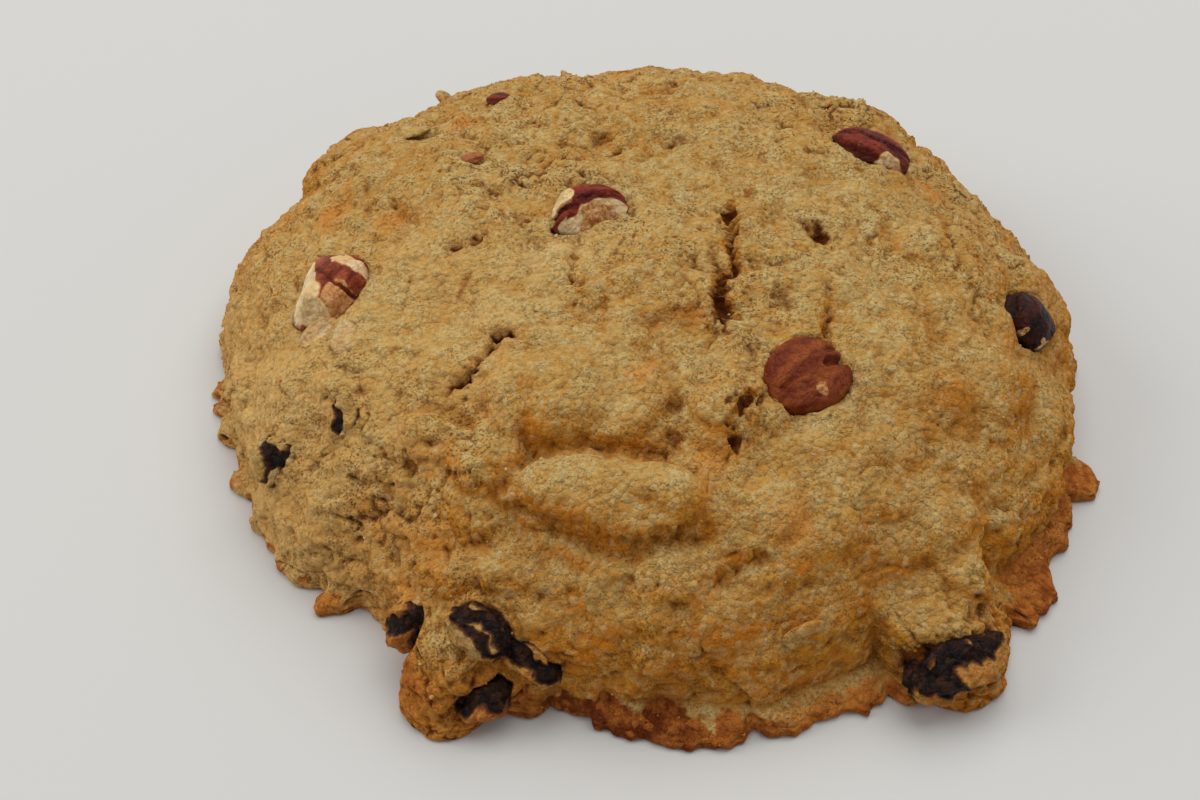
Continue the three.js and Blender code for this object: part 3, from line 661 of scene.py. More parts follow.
class Finish(Graph):
    """One material: its shader, and the masks and colours that are joined to it."""

    clamped = True

    def __init__(self, name, roughness, specular=0.08):
        self.material = bpy.data.materials.new(name)
        self.material.use_nodes = True
        super().__init__(self.material.node_tree)
        self.shader = self.tree.nodes["Principled BSDF"]
        self.set("Roughness", roughness)
        self.set("Specular IOR Level", specular)

    def set(self, name, value):
        self.feed(self.shader.inputs[name], value)

    def place(self):
        return self.node("TexCoord").outputs["Object"]

    def mask(self, name):
        return self.node("Attribute", attribute_name=name).outputs["Fac"]

    def mix(self, share, first, second, blend_type="MIX"):
        node = self.node("Mix", data_type="RGBA", blend_type=blend_type)
        self.feed(node.inputs["Factor"], share)
        self.feed(node.inputs[6], first)
        self.feed(node.inputs[7], second)
        return node.outputs[2]

    def wash(self, color, mask, strength, new_color):
        """A colour with another laid over it, as strongly as said where a mask is 1."""
        return self.mix(self.math("MULTIPLY", mask, strength), color, new_color)

    def ramp(self, value, *stops):
        node = self.node("ValToRGB", value)
        elements = node.color_ramp.elements
        while len(elements) < len(stops):
            elements.new(0.5)
        for element, (position, color) in zip(elements, stops):
            element.position = position
            element.color = color
        return node.outputs["Color"]

    def fray(self, value, place, low, high):
        """A soft mask turned into one with a ragged edge between two of its values."""
        values = self.noise(place, 0.7, 5.0), 0.8, value
        raised = self.node("Math", *values, operation="MULTIPLY_ADD").outputs[0]
        return self.between(raised, low + 0.4, high + 0.4)

    def group(self, tree, **values):
        node = self.node("Group", node_tree=tree)
        for name, value in values.items():
            self.feed(node.inputs[name.replace("_", " ")], value)
        return node.outputs

    def made(self, color, grain, depth):
        """The material with its colour and, that many millimetres deep, the grain."""
        self.set("Base Color", color)
        relief = self.node("Bump")
        relief.inputs["Distance"].default_value = depth * MM
        self.feed(relief.inputs["Height"], grain["Height"])
        self.set("Normal", relief.outputs["Normal"])
        return self.material


def baked_grain_group():
    """Flour, sugar and butter grain: uneven colour, specks and pores, and its height."""
    tree = bpy.data.node_groups.new("baked grain", "ShaderNodeTree")
    socket = tree.interface.new_socket
    socket("Place", in_out="INPUT", socket_type="NodeSocketVector")
    for name, value in (("Grain size", 0.5), ("Rough", 1.0)):
        socket(name, in_out="INPUT", socket_type="NodeSocketFloat").default_value = value
    for name in ("Mottle", "Blush", "Pale specks", "Dark specks", "Pores", "Grain", "Height"):
        socket(name, in_out="OUTPUT", socket_type="NodeSocketFloat")
    graph = Graph(tree)
    sums, between = graph.math, graph.between
    taken = tree.nodes.new("NodeGroupInput").outputs
    given = tree.nodes.new("NodeGroupOutput").inputs
    place = taken["Place"]

    def noise(size, detail, roughness=0.5):
        return graph.noise(place, size, detail, roughness)

    close = noise(1.2, 4.0)
    graph.feed(given["Mottle"], between(sums("ADD", noise(6.0, 4.0), close), 0.84, 1.16))

    # Crumbs of half a millimetre, some paler and some browner than the rest.
    crumb = graph.texture("TexVoronoi", place, 0.62).outputs
    tint = sums("MULTIPLY", crumb["Color"], 1.0)
    paler = between(noise(1.3, 2.0), 0.58, 0.7)
    blushed = between(noise(2.4, 3.0), 0.52, 0.68)
    graph.feed(given["Pale specks"], sums("MAXIMUM", paler, between(tint, 0.62, 0.78)))
    graph.feed(given["Blush"], sums("MAXIMUM", blushed, between(tint, 0.4, 0.24)))
    graph.feed(given["Dark specks"], between(noise(0.8, 2.0), 0.64, 0.72))

    # Pinholes in clusters, and short crevices between the crumbs, where the dough's colour is
    # darkened as painted shade.
    clusters = between(noise(3.0, 2.0), 0.42, 0.56)
    pinholes = sums("MULTIPLY", between(noise(0.24, 1.5), 0.585, 0.645), clusters)
    sway = noise(1.0, 3.0).node.outputs["Color"]
    sway = graph.node("VectorMath", sway, (MM,) * 3, operation="MULTIPLY").outputs[0]
    swayed = graph.node("VectorMath", place, sway, operation="ADD").outputs[0]
    nick = graph.texture("TexVoronoi", swayed, 2.2, feature="DISTANCE_TO_EDGE")
    torn = between(nick.outputs["Distance"], 0.13, 0.05)
    nicks = sums("MULTIPLY", torn, between(noise(1.1, 2.0), 0.58, 0.64))
    pores = sums("MULTIPLY", sums("MAXIMUM", pinholes, nicks), taken["Rough"])
    graph.feed(given["Pores"], pores)

    grain = noise(0.5, 4.0, 0.6)
    graph.feed(grain.node.inputs["Scale"], sums("DIVIDE", 1 / MM, taken["Grain size"]))
    dust = between(noise(0.16, 2.0), 0.3, 0.7)
    both = sums("MULTIPLY_ADD", dust, 0.7, between(grain, 0.3, 0.7))
    graph.feed(given["Grain"], between(both, 0.25, 1.45))
    standing = sums("MULTIPLY_ADD", both, 0.22, close)
    rounded = sums("MULTIPLY", crumb["Distance"], crumb["Distance"])
    standing = sums("MULTIPLY_ADD", rounded, -0.9, standing)
    graph.feed(given["Height"], sums("MULTIPLY_ADD", pinholes, -0.55, standing))
    return tree


baked_grain = baked_grain_group()

DOUGH_TOP = paint(211, 187, 126)
DOUGH_TOP_DEEP = paint(200, 162, 92)
DOUGH_BLUSH = paint(216, 157, 70)
DOUGH_PALE_AND_LIT = paint(236, 190, 118)
DOUGH_WALL = paint(208, 128, 36)
DOUGH_WALL_PALE = paint(217, 151, 53)
DOUGH_CREASE_SHADE = paint(172, 106, 32)
CRACK_SHADE_COLOR = paint(92, 40, 11)
PORE_SHADE_COLOR = paint(116, 62, 18)
DOUGH_TOASTED = paint(206, 132, 52)
CRUST_LIGHT = paint(212, 140, 62)
CRUST_DEEP = paint(170, 92, 36)
CRUST_ORANGE = paint(208, 126, 54)
CRUST_BURNT = paint(106, 47, 19)
CRUST_BURNT_LIGHT = paint(160, 86, 34)
OAT_PALE = paint(230, 210, 156)
BRAN_DARK = paint(148, 84, 28)
SHADE = paint(204, 170, 112)


def dough_color(finish, grain, steepness):
    """The skin of the dough: pale on top, deeper down the wall, with freckles and grain, and
    painted shade in the grain's low spots.
    """
    top = finish.mix(grain["Mottle"], DOUGH_TOP_DEEP, DOUGH_TOP)
    top = finish.wash(top, grain["Blush"], 0.4, DOUGH_BLUSH)
    wall = finish.mix(grain["Mottle"], DOUGH_WALL, DOUGH_WALL_PALE)
    color = finish.mix(steepness, top, wall)
    color = finish.wash(color, grain["Pale specks"], 0.3, OAT_PALE)
    color = finish.wash(color, grain["Dark specks"], 0.45, BRAN_DARK)
    # painted shade: the colour is multiplied darker where the grain's bump lies low
    grain_shade = finish.math("MULTIPLY_ADD", grain["Grain"], -0.6, 0.6)
    return finish.mix(grain_shade, color, SHADE, "MULTIPLY")


finish = Finish("baked dough", 0.85)
place = finish.place()
grain = finish.group(baked_grain, Place=place, Grain_size=0.42, Rough=finish.mask("rough"))
color = dough_color(finish, grain, finish.mask("wall"))
# painted light on the left wall, and the real pale crumbs above the front crust
color = finish.wash(color, finish.mask("pale"), 0.55, DOUGH_PALE_AND_LIT)
# painted shade in the creases, stronger down the wall
crease_shade_strength = finish.math("MULTIPLY_ADD", finish.mask("wall"), 0.3, 0.55)
color = finish.wash(color, finish.mask("crease"), crease_shade_strength, DOUGH_CREASE_SHADE)
color = finish.wash(color, finish.fray(finish.mask("toasted"), place, 0.1, 0.9), 0.7, DOUGH_TOASTED)
color = finish.wash(color, finish.mask("hull"), 0.8, BRAN_DARK)
crust = finish.mix(grain["Mottle"], CRUST_DEEP, CRUST_LIGHT)
burnt_crust = finish.mix(grain["Mottle"], CRUST_BURNT, CRUST_BURNT_LIGHT)
crust = finish.mix(finish.mask("burnt"), crust, burnt_crust)
crust = finish.wash(crust, grain["Blush"], 0.45, CRUST_ORANGE)
crust = finish.wash(crust, grain["Dark specks"], 0.7, CRUST_BURNT)
color = finish.mix(finish.fray(finish.mask("foot"), place, 0.3, 0.7), color, crust)
# painted shade in the cracks, pits, crevices, underside dimples and the gaps beside nuts and
# raisins
color = finish.wash(color, finish.fray(finish.mask("crack"), place, 0.25, 0.65), 0.92, CRACK_SHADE_COLOR)
# painted shade in the pinholes and short crevices
color = finish.wash(color, grain["Pores"], 0.85, PORE_SHADE_COLOR)
cookie.data.materials.append(finish.made(color, grain, 0.38))
ride_as(cookie, "dough", "cookie")

# ==== The oat flakes ========================================================
# Rolled oats: steamed, flattened groats with a crease along the middle. They were mixed
# into the dough, and these few lie on or stand out of its skin.
FLAKE_LONG, FLAKE_WIDE, FLAKE_THICK = 3.0, 1.9, 0.55
FLAKES = [  # x, y, turn and tilt in degrees, size, how bare of dough
    (-32.4, -9.0, 20, 14, 0.8, 0.8), (-29.2, -11.4, 95, 10, 0.7, 0.6),
    (-21.6, 31.8, 75, 68, 0.8, 0.2), (-8.4, 37.4, 80, 76, 0.9, 0.2),
    (13.6, -39.4, 12, 20, 0.8, 0.0), (-4.4, -38.0, 60, 16, 0.85, 0.0),
    (3.8, 4.6, 110, 8, 0.7, 0.1), (27.0, 8.0, -30, 7, 0.8, 0.0),
    (19.4, -28.6, 45, 10, 0.8, 0.0), (-24.6, 20.4, 140, 6, 0.85, 0.0),
    (9.2, 33.0, 15, 9, 0.9, 0.0), (34.6, 17.0, 70, 8, 0.85, 0.0),
    (-38.2, 12.6, 160, 8, 0.85, 0.0), (-30.2, 28.4, 40, 10, 0.9, 0.0),
]


def ball(subdivisions):
    """Directions and triangles of a ball of even triangles."""
    shell = bmesh.new()
    bmesh.ops.create_icosphere(shell, subdivisions=subdivisions, radius=1)
    directions = np.array([vertex.co[:] for vertex in shell.verts])
    faces = np.array([[vertex.index for vertex in face.verts] for face in shell.faces])
    shell.free()
    return directions, faces


def joined_mesh(name, parts, masks=None, smooth=True):
    """One piece from many small meshes given as (points, faces)."""
    offsets = np.cumsum([0] + [len(points) for points, _ in parts])
    points = np.concatenate([points for points, _ in parts])
    faces = np.concatenate([faces + start for (_, faces), start in zip(parts, offsets)])
    return new_piece(name, points, faces, masks, smooth)


def place_in_top(x, y, turn, sink):
    """The middle and the axes of a thing that lies in the top of the dough."""
    flat = on_top(x, y)
    lift = relief_without_cracks(flat[None])[0] - sink
    middle = baked_points(math.atan2(y, x), math.hypot(x, y), flat[2], lift)[0]
    return middle, surface_axes(flat, turn)


flake_parts = []
flake_ball, flake_faces = ball(4)
edge = np.hypot(flake_ball[:, 0], flake_ball[:, 1])
for number, (x, y, turn, tilt, size, bare) in enumerate(FLAKES):
    flake = flake_ball * (FLAKE_LONG * size, FLAKE_WIDE * size, FLAKE_THICK * 0.8)
    flake[:, 2] *= 1 - 0.45 * np.exp(-((flake_ball[:, 1] / 0.12) ** 2))
    flake[:, 2] += 0.35 * soft_noise(flake + 40 * number, 2.4, 211) * edge
    flake += 0.25 * soft_noise(flake + 40 * number, 0.9, 221)[:, None] * flake_ball
    angle = math.radians(tilt)
    lean = np.array([[1, 0, 0], [0, math.cos(angle), math.sin(angle)],
                     [0, -math.sin(angle), math.cos(angle)]])
    middle, axes = place_in_top(x, y, turn, 0.1 + 0.25 * (1 - bare))
    flake_parts.append((flake @ lean @ axes + middle, flake_faces))
steepness = [1 - dome_normal(on_top(x, y))[2] for x, y, *_ in FLAKES]
flake_masks = {
    "bare": np.repeat([flake[-1] for flake in FLAKES], len(flake_ball)),
    "wall": np.repeat(steepness, len(flake_ball)),
    "edge": np.tile(0.8 * edge**8, len(FLAKES)),
}
flakes = joined_mesh("oat_flakes", flake_parts, flake_masks)

finish = Finish("oat flake", 0.75)
grain = finish.group(baked_grain, Place=finish.place(), Grain_size=0.4)
covered = dough_color(finish, grain, finish.mask("wall"))
flake_color = finish.mix(grain["Mottle"], paint(222, 178, 122), paint(238, 208, 158))
flake_color = finish.mix(finish.mask("edge"), flake_color, paint(196, 134, 72))
color = finish.mix(finish.mask("bare"), covered, flake_color)
flakes.data.materials.append(finish.made(color, grain, 0.4))
ride_as(flakes, "dough")

# ==== The pecans ============================================================
# Shelled pecan halves, chopped before they went into the dough: a thin brown skin with
# grooves along the nut, and pale flesh where the knife broke it. Each lies in its own pocket.
PECANS = [  # node, x, y, half sizes, turn, sink, faces, wrinkle, skin light and dark
    ("pecan_1", -6.1, 2.4, (4.2, 3.3, 2.6), 18, 0.5,
     [((-0.8, 0.35, 0.5), 3.0), ((0.05, -0.9, 0.45), 1.6)], 0.14, (154, 60, 34), (88, 26, 18)),
    ("pecan_2", 23.6, 15.4, (4.3, 2.7, 2.3), -22, 0.5,
     [((0.2, -0.95, -0.2), 2.5)], 0.14, (146, 56, 34), (80, 26, 18)),
    ("pecan_3", 37.7, -3.9, (3.3, 3.2, 2.4), 80, 0.3,
     [((-0.5, -0.8, 0.3), 2.7)], 0.14, (80, 24, 12), (28, 9, 5)),
    ("pecan_4", 14.5, -18.3, (4.5, 4.2, 3.0), 35, 0.6,
     [((0.95, -0.1, 0.1), 4.0)], 0.08, (156, 78, 30), (112, 42, 16)),
    ("pecan_5", -32.0, -4.2, (4.9, 4.1, 3.4), 48, 0.5,
     [((-0.35, 0.5, 0.8), 2.4), ((-0.85, -0.3, 0.4), 2.9)], 0.16, (184, 92, 48), (116, 44, 26)),
    ("pecan_bit_1", -15.6, 24.2, (1.5, 0.9, 0.8), -25, 0.1, [], 0.1, (136, 58, 34), (84, 30, 18)),
    ("pecan_bit_2", -17.9, 12.0, (1.2, 0.7, 0.6), 10, 0.0, [], 0.08, (190, 122, 76), (160, 90, 50)),
]
PATCHES = {  # across and along the nut in mm, half sizes, turn, skin 0, tan 0.5, cream 1
    "pecan_1": [
        (-2.4, 1.4, 1.6, 1.5, 20, 1.0), (0.8, -2.4, 2.6, 1.5, 0, 0.6),
        (-1.0, -0.6, 3.2, 0.6, 12, 0.0),
    ],
    "pecan_2": [(2.3, -2.4, 2.1, 0.7, 25, 0.8), (-1.2, -2.7, 2.0, 1.2, 0, 0.0)],
    "pecan_3": [(-2.9, 1.4, 0.35, 0.35, 0, 0.6), (-2.8, -1.1, 0.25, 0.4, 0, 0.6)],
    "pecan_4": [(-0.7, -2.5, 0.6, 0.8, 0, 0.3)],
    "pecan_5": [
        (3.5, -0.9, 1.0, 2.6, 0, 0.85), (1.9, -1.9, 1.1, 2.2, -12, 0.0),
        (-0.2, -3.2, 1.8, 1.5, 0, 0.5), (0.4, -4.6, 2.6, 0.8, 0, 0.0),
        (-1.9, -0.5, 2.0, 1.6, 0, 1.0), (-4.5, -0.4, 0.9, 1.3, 0, 0.0),
    ],
}
CLEFTS = {  # the groove down the nut: points across it, half-width, depth
    "pecan_1": [((-4.0, -0.2), (-1.4, -0.5), (0.9, 0.1), (3.6, 0.3), 0.7, 0.8)],
    "pecan_2": [((-3.9, -0.4), (-0.5, -0.9), (2.6, -0.4), (4.2, 0.4), 0.4, 0.25)],
    "pecan_4": [
        ((-3.4, -0.2), (-1.0, 0.3), (1.0, 0.6), (3.6, 0.9), 0.5, 0.35),
        ((1.5, -0.6), (4.4, -0.8), 0.55, 0.8),
    ],
    "pecan_5": [((1.1, 1.0), (1.0, -1.0), (0.9, -2.6), (0.9, -3.8), 0.3, 0.3)],
}


def distance_from_above(points, line):
    """How far points are from a line of (across, along), as seen along a piece's height."""
    return distance_to_line(points * (1, 1, 0), [np.array([*corner, 0]) for corner in line])


def pecan_stretch(direction):
    """Grooves along the nut, with a deep one down the middle."""
    turn = np.arctan2(direction[:, 1], direction[:, 2])
    ends = 1 - direction[:, 0] ** 2
    return 1 + (0.055 * np.cos(turn * 7) - 0.1 * np.exp(-((turn * 3) ** 2))) * ends


PECAN_FLESH = paint(242, 220, 176)
PECAN_FLESH_DEEP = paint(232, 196, 136)
PECAN_FLESH_TAN = paint(206, 150, 90)


def pecan_finish(name, light, dark):
    finish = Finish(name, 0.48, specular=0.15)
    place = finish.place()
    grain = finish.group(baked_grain, Place=place, Grain_size=0.35, Rough=0.3)
    skin = finish.mix(finish.mask("groove"), light, dark)
    skin = finish.wash(skin, grain["Mottle"], 0.5, dark)
    flesh = finish.mix(grain["Mottle"], PECAN_FLESH_DEEP, PECAN_FLESH)
    tan = finish.wash(PECAN_FLESH_TAN, finish.fray(grain["Grain"], place, 0.55, 0.3), 0.6, light)
    color = finish.mix(finish.fray(finish.mask("flesh"), place, 0.15, 0.4), skin, tan)
    color = finish.mix(finish.fray(finish.mask("flesh"), place, 0.55, 0.95), color, flesh)
    color = finish.mix(finish.mask("rim"), color, dark)
    finish.set("Roughness", finish.math("MULTIPLY_ADD", finish.mask("flesh"), 0.3, 0.42))
    return finish.made(color, grain, 0.25)


NUT_LIP = 0.28  # how far the dough rose against a nut
NUT_LIP_WIDTH = 1.9
NUT_LIP_AT = 0.45  # how far from the nut it stands highest
NUT_CREVICE = 0.3  # the shadowed gap between nut and dough, as deep as it is wide


def move_dough(rise, out, painted_shade):
    """Moves the dough's top along one direction, and paints shade into its colour where a gap opens
    beside a nut or a raisin.
    """
    top_points[:] += rise[:, None] * out
    cracked = masks["crack"][: len(top_points)]
    cracked[:] = np.maximum(cracked, painted_shade)


def seat_in_dough(nut, middle, axes, sink):
    """Presses a nut's pocket into the dough, with a ragged lip pushed up round it and painted shade
    in the gap.
    """
    sector = np.linspace(-math.pi, math.pi, 73)
    shown = nut[nut[:, 2] > 0.5 * sink]
    near = np.digitize(np.arctan2(shown[:, 1], shown[:, 0]), sector)
    reach = np.zeros(len(sector) + 1)
    np.maximum.at(reach, near, np.hypot(shown[:, 0], shown[:, 1]))
    local = (top_points - middle) @ axes.T
    angle = np.arctan2(local[:, 1], local[:, 0])
    outline = np.interp(angle, (sector[1:] + sector[:-1]) / 2, reach[1:-1], period=2 * math.pi)
    gap = np.hypot(local[:, 0], local[:, 1]) - outline + 0.25 * soft_noise(local, 0.8, 251)
    touched = (np.abs(local[:, 2]) < 4) & (gap < NUT_LIP_WIDTH)
    lip = clamp(1 - np.abs(gap - NUT_LIP_AT) / (NUT_LIP_WIDTH - NUT_LIP_AT)) ** 2
    rise = NUT_LIP * lip * (0.8 + 0.9 * soft_noise(local, 1.9, 256))
    crevice = clamp(1 - np.abs(gap) / NUT_CREVICE)
    crevice *= clamp(0.5 + 1.3 * soft_noise(local, 2.4, 261))
    rise = np.where(gap < 0.1, -0.9 * clamp(0.1 - gap), rise) - NUT_CREVICE * crevice
    move_dough(np.where(touched, rise, 0), axes[2], 0.8 * crevice * touched)


nut_ball, nut_faces = ball(6)
for number, (node, x, y, half, turn, sink, cuts, depth, light, dark) in enumerate(PECANS):
    seed = 300 + 10 * number
    nut = nut_ball * half * pecan_stretch(nut_ball)[:, None]
    along = nut * (0.35, 1, 1)
    wrinkle = soft_noise(along, 0.9, seed) + 0.5 * soft_noise(along, 0.4, seed + 1)
    nut += nut_ball * (depth * wrinkle)[:, None]
    flesh = np.zeros(len(nut))
    for facing, at in cuts:
        facing = unit(np.array(facing))
        rough = 0.3 * soft_noise(nut, 1.7, seed + 2) + 0.12 * soft_noise(nut, 0.5, seed + 3)
        beyond = nut @ facing - at - rough
        flesh = np.maximum(flesh, clamp(beyond / 0.12))
        nut -= facing * (0.85 * np.maximum(beyond, 0))[:, None]
    outside = nut[:, 2] > -0.8
    torn = warp(nut, 0.9, 0.3, seed + 4)
    for across, toward, wide, long, patch_turn, depth in PATCHES.get(node, []):
        angle = math.radians(patch_turn)
        offset = torn[:, :2] - (across, toward)
        offset = offset @ np.array([[math.cos(angle), -math.sin(angle)],
                                    [math.sin(angle), math.cos(angle)]]) / (wide, long)
        inside = clamp((1 - (offset**2).sum(-1)) / 0.25) * outside
        flesh = flesh * (1 - inside) + depth * inside
    for *points, wide, depth in CLEFTS.get(node, []):
        away = distance_from_above(torn, points) / wide
        inside = clamp(1 - away**2) * outside
        nut -= nut_ball * (depth * inside)[:, None]
        flesh *= 1 - clamp(2 * inside)
        wrinkle = wrinkle - inside
    nut_masks = {
        "flesh": flesh,
        "groove": clamp(0.45 - 0.9 * wrinkle),
        "rim": clamp(1 - (nut_ball[:, 2] + 0.05) / 0.22) * (len(cuts) > 0),
    }
    middle, axes = place_in_top(x, y, turn, sink)
    piece = new_piece(node + "_nut", nut @ axes + middle, nut_faces, nut_masks)
    skin = pecan_finish(node + " skin", paint(*light), paint(*dark))
    piece.data.materials.append(skin)
    ride_as(piece, "pecan", node)
    seat_in_dough(nut, middle, axes, sink)
refit_dough()

# ==== The raisins ===========================================================
# Dried grapes, folded as they shrank, baked into the foot of the cookie. Their skins are
# nearly black with a dull shine, and dough clings to them here and there.
RAISINS = [  # node, azimuth, height, distance out of the wall, half sizes, turn, crust's tan
    ("raisin_1", -121.4, 5.6, 0.8, (2.6, 1.9, 2.0), 70, 0.7),
    ("raisin_2", -111.8, 8.0, 0.3, (3.1, 2.2, 1.8), -28, 0.2),
    ("raisin_3", -105.0, 5.4, 0.2, (2.9, 1.6, 1.6), -38, 0.6),
    ("raisin_4", -110.2, 2.3, 1.6, (3.1, 1.7, 2.2), 24, 1.0),
    ("raisin_5", -55.4, 3.2, 4.4, (5.4, 2.6, 2.8), 8, 0.6),
    ("raisin_6", -152.2, 9.2, -0.6, (2.8, 2.0, 1.7), 70, 0.0),
    ("raisin_7", -146.0, 15.2, -0.8, (2.6, 1.5, 1.5), 80, 0.0),
]


def raisin_stretch(direction):
    """Wrinkles that run roughly along the raisin and bend as they go."""
    turn = np.arctan2(direction[:, 1], direction[:, 2])
    ends = 1 - 0.8 * direction[:, 0] ** 2
    long = 0.09 * np.cos(turn * 5 + direction[:, 0] * 2.2)
    return 1 + (long + 0.05 * np.cos(turn * 3 - direction[:, 0] * 4)) * ends


BARE_OF_DOUGH = {  # lines along which the skin shows: points across the raisin, half-width
    "raisin_1": [((0.0, 1.4), (0.6, 0.7), (1.6, -0.8), (1.9, -0.5), 0.8),
                 ((1.6, -0.8), (0.5, -1.8), (-0.5, -1.8), 0.45)],
    "raisin_2": [((-2.1, 0.4), (-1.4, 1.5), (-0.3, 2.0), (1.3, 1.8), (2.0, 1.2), (2.6, 0.8), 0.6),
                 ((-2.1, 0.4), (0.0, 0.5), (0.7, 0.6), (1.7, -0.8), (2.4, -0.4), (2.6, 0.8), 0.4)],
    "raisin_3": [((-2.8, -0.4), (-1.4, 0.7), (0.6, 0.8), (2.1, 0.7), 0.6)],
    "raisin_4": [((-0.9, 0.8), (0.4, 1.5), (1.7, 1.3), (2.6, 0.1), 0.8)],
    "raisin_5": [((-4.3, 0.4), (-3.5, 1.9), (-1.4, 2.2), (0.9, 1.8), (2.9, 1.7), (4.2, 1.6), 0.8),
                 ((-3.8, 1.2), (-2.8, 1.0), (-2.6, -0.3), 1.1),
                 ((-2.6, -0.3), (0.7, -1.3), (2.0, -1.1), 0.5)],
    "raisin_6": [((1.6, 0.1), (0.7, -0.8), (0.0, -1.1), (0.2, -1.7), 0.55),
                 ((0.0, -1.1), (-0.8, -1.0), (-1.7, -0.9), (-2.8, -0.1), 0.22)],
    "raisin_7": [((1.4, 0.9), (0.3, 0.0), (-0.4, -0.4), (-1.2, -0.4), 0.36)],
}

finish = Finish("raisin skin", 0.5, specular=0.15)
place = finish.place()
grain = finish.group(baked_grain, Place=place, Grain_size=0.4)
skin = finish.ramp(finish.noise(place, 1.2), (0.35, paint(12, 7, 7)), (0.68, paint(44, 25, 20)))
skin = finish.wash(skin, grain["Pale specks"], 0.12, BRAN_DARK)
coat = dough_color(finish, grain, finish.mask("tan"))
tanned = finish.mix(grain["Mottle"], paint(160, 84, 32), paint(204, 136, 62))
coat = finish.mix(finish.mask("tan"), coat, tanned)
smeared = finish.fray(finish.mask("coat"), place, 0.15, 0.45)
coated = finish.fray(finish.mask("coat"), place, 0.5, 0.9)
color = finish.mix(coated, finish.mix(smeared, skin, paint(96, 56, 30)), coat)
finish.set("Roughness", finish.math("MULTIPLY_ADD", coated, 0.35, 0.5))
raisin_skin = finish.made(color, grain, 0.4)

COAT = 0.35  # how thick the dough lies over a raisin
COAT_EDGE = 0.5  # how far the rest of the dough stays below the skin
COAT_JOIN = 0.75  # where the two meet, as a square of the raisin's half-width
COAT_REACH = 1.25  # how far out dough is drawn up to it, in the same measure


def shown_skin(node, local, seed):
    """1 where a raisin's skin is bare and 0 under dough, for points on its own axes."""
    torn = warp(warp(local * (1, 1, 0), 1.2, 0.4, seed + 7), 0.5, 0.25, seed + 8)
    bare = np.zeros(len(local))
    for *points, wide in BARE_OF_DOUGH[node]:
        gap = distance_from_above(torn, points)
        bare = np.maximum(bare, clamp((wide - gap) / 0.45 + 0.5))
    return bare


def drape_dough(node, half, middle, axes, seed):
    """Draws the dough up to a raisin's coat, and under it where the skin shows, with painted shade
    on the dough beside the bare skin.
    """
    local = (top_points - middle) @ axes.T
    level = local / half
    away = (level[:, :2] ** 2).sum(-1)
    over = (away < COAT_REACH) & (level[:, 2] > -1.2) & (level[:, 2] < 2.5)
    top = half[2] * np.sqrt(np.maximum(1 - away, 0))
    bare = shown_skin(node, local, seed)
    below = np.maximum(bare, clamp((COAT_JOIN - away) / 0.2))
    bits = crumb_caps(warp(local * (1, 1, 0), 0.6, 0.2, seed + 3), 1.2, seed + 2)
    covered = np.maximum(local[:, 2], top + COAT * (0.6 + bits))
    opened = np.minimum(local[:, 2], top - COAT_EDGE)
    edge = clamp((COAT_REACH - away) / 0.3)
    rise = (covered * (1 - below) + opened * below - local[:, 2]) * edge * over
    move_dough(np.where(on_sheet, 0, rise), axes[2], 0.7 * bare * edge * over)


fruit_ball, fruit_faces = ball(6)
for number, (node, at, height, out, half, turn, tan) in enumerate(RAISINS):
    seed = 400 + 10 * number
    fruit = fruit_ball * half * raisin_stretch(fruit_ball)[:, None]
    folds = 0.4 - 2 * np.abs(soft_noise(warp(fruit, 1.6, 0.6, seed), 1.4, seed + 4))
    folds += 0.5 - np.abs(soft_noise(warp(fruit, 0.8, 0.3, seed + 5), 0.7, seed + 6))
    fruit += fruit_ball * (0.24 * folds)[:, None]
    coat = (1 - shown_skin(node, fruit, seed)) * clamp(1.5 * fruit[:, 2])
    bits = crumb_caps(warp(fruit, 0.6, 0.2, seed + 3), 1.1, seed + 2)
    fruit[:, 2] += coat * COAT * (0.6 + 1.1 * bits)
    fruit_masks = {"coat": coat, "tan": np.full(len(fruit), tan)}
    angle = math.radians(at)
    flat = around(angle, dome_radius(height), height)
    push = around(angle, outline_push(angle, COOKIE_RADIUS), 0)
    middle = flat + dome_normal(flat) * out + push
    axes = surface_axes(flat, turn)
    placed = fruit @ axes + middle
    placed[:, 2] = np.maximum(placed[:, 2], 0.05)
    piece = new_piece(node + "_fruit", placed, fruit_faces, fruit_masks)
    piece.data.materials.append(raisin_skin)
    ride_as(piece, "raisin", node)
    drape_dough(node, np.array(half), middle, axes, seed)
refit_dough()
body_normals = mesh_normals(body_points, body_faces)

# ==== The crumbs ============================================================
# Grains of dough and sugar that dried loose and stuck where they fell, most of them low on
# the wall and in the rough parts of the top.
CRUMB_COUNT = 2200
CRUMB_SIZES = (0.08, 0.2)
rng = np.random.default_rng(17)
crumb_ball, crumb_faces = ball(1)
first = top_faces[:, 0]
area = length(face_normals(body_points, top_faces))
weight = area * (0.25 + patchy[first] ** 2) * (body_points[first, 2] > 0.8)
picked = first[rng.choice(len(top_faces), CRUMB_COUNT, p=weight / weight.sum())]
crumb_parts = []
for corner in picked:
    size = CRUMB_SIZES[0] + (CRUMB_SIZES[1] - CRUMB_SIZES[0]) * rng.random() ** 2.2
    grain_points = crumb_ball * (0.6 + 0.8 * rng.random((len(crumb_ball), 1)))
    grain_points = grain_points * (size * (0.7 + 0.6 * rng.random(3)))
    spot = body_points[corner] + body_normals[corner] * size * 0.1
    crumb_parts.append((grain_points + spot, crumb_faces))
shade = np.repeat(rng.random(CRUMB_COUNT), len(crumb_ball))
crumb_masks = {"shade": shade, "foot": np.repeat(foot[picked], len(crumb_ball))}
crumbs = joined_mesh("crumbs", crumb_parts, crumb_masks, smooth=False)

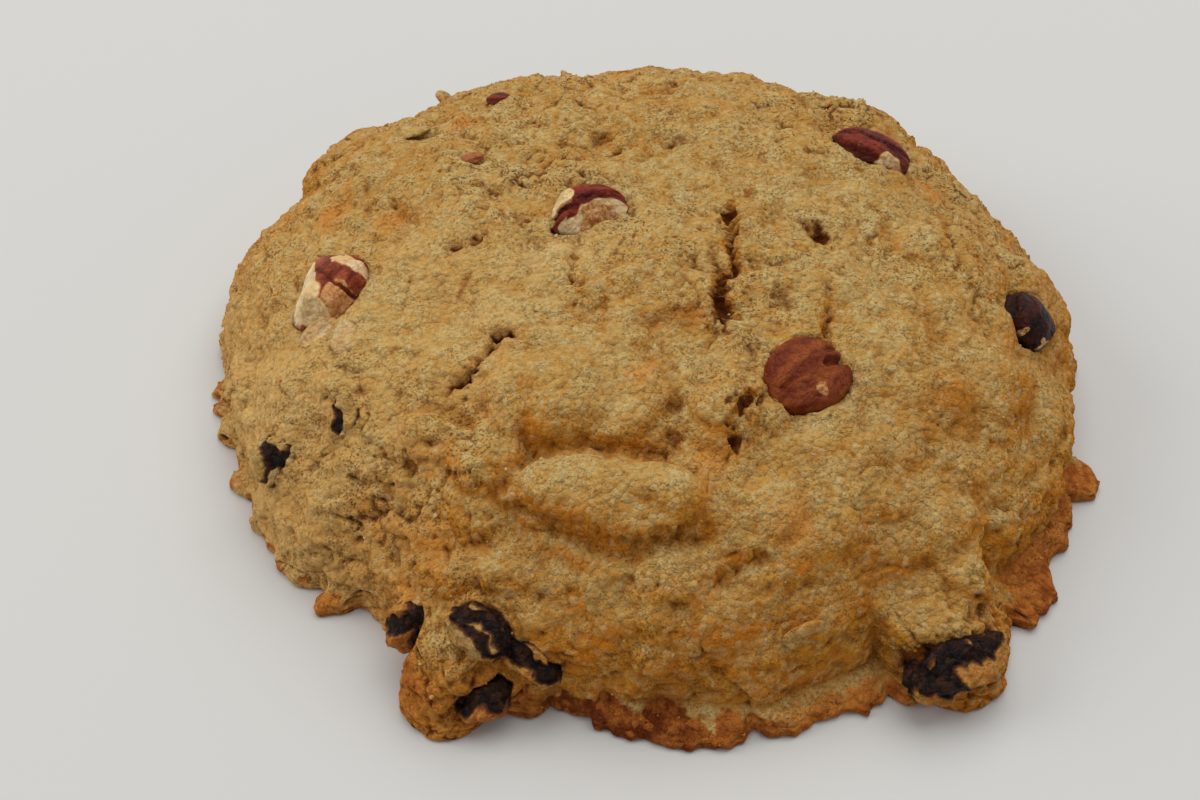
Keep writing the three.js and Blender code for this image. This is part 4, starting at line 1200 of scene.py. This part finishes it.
finish = Finish("crumb", 0.8)
grain = finish.group(baked_grain, Place=finish.place(), Grain_size=0.3)
stops = ((0.0, DOUGH_WALL), (0.6, DOUGH_TOP_DEEP), (1.0, DOUGH_TOP))
color = finish.mix(finish.mask("foot"), finish.ramp(finish.mask("shade"), *stops), CRUST_LIGHT)
color = finish.wash(color, grain["Dark specks"], 0.5, BRAN_DARK)
crumbs.data.materials.append(finish.made(color, grain, 0.25))
ride_as(crumbs, "dough")

# ==== The setting ===========================================================
# A plain pale floor and soft light from above and a little behind, as by a wide window,
# with the camera looking down at the cookie from the eater's side.
FLOOR_HALF = 3.0
floor = new_piece(
    "floor",
    np.array([(-1, -1, 0), (1, -1, 0), (1, 1, 0), (-1, 1, 0)]) * (FLOOR_HALF / MM),
    [(0, 1, 2, 3)],
    smooth=False,
)
finish = Finish("floor", 0.6)
finish.set("Base Color", paint(210, 209, 205))
floor.data.materials.append(finish.material)


DAYLIGHT = (1.0, 0.99, 0.965)


def area_light(name, location, size, power):
    """A round light that faces the spot where the cookie lies."""
    lamp = bpy.data.lights.new(name, "AREA")
    lamp.shape = "DISK"
    lamp.size = size
    lamp.energy = power
    lamp.color = DAYLIGHT
    holder = bpy.data.objects.new(name, lamp)
    holder.location = location
    holder.rotation_mode = "QUATERNION"
    holder.rotation_quaternion = (-Vector(location)).to_track_quat("-Z", "Y")
    bpy.context.scene.collection.objects.link(holder)


area_light("ceiling", (0.18, 0.42, 1.05), 1.4, 9.7)
area_light("window", (-0.9, 0.1, 0.6), 0.7, 3.7)

world = bpy.data.worlds.new("room")
world.use_nodes = True
sky = world.node_tree.nodes["Background"]
sky.inputs["Color"].default_value = (0.93, 0.95, 1.0, 1.0)
sky.inputs["Strength"].default_value = 0.38
bpy.context.scene.world = world
bpy.context.scene.view_settings.view_transform = "Standard"

ELEVATION = math.radians(46)
DISTANCE = 0.185
TARGET = (-0.0049, -0.0103, 0.008)
SENSOR = 36.0
FIELD_WIDTH = 0.12  # what the frame's width spans at the target
camera_data = bpy.data.cameras.new("camera")
camera_data.sensor_width = SENSOR
camera_data.lens = SENSOR * DISTANCE / FIELD_WIDTH
camera_data.clip_start = 0.01
camera = bpy.data.objects.new("camera", camera_data)
camera.location = (
    TARGET[0],
    TARGET[1] - DISTANCE * math.cos(ELEVATION),
    TARGET[2] + DISTANCE * math.sin(ELEVATION),
)
camera.rotation_euler = (math.pi / 2 - ELEVATION, 0, 0)
bpy.context.scene.collection.objects.link(camera)
bpy.context.scene.camera = camera
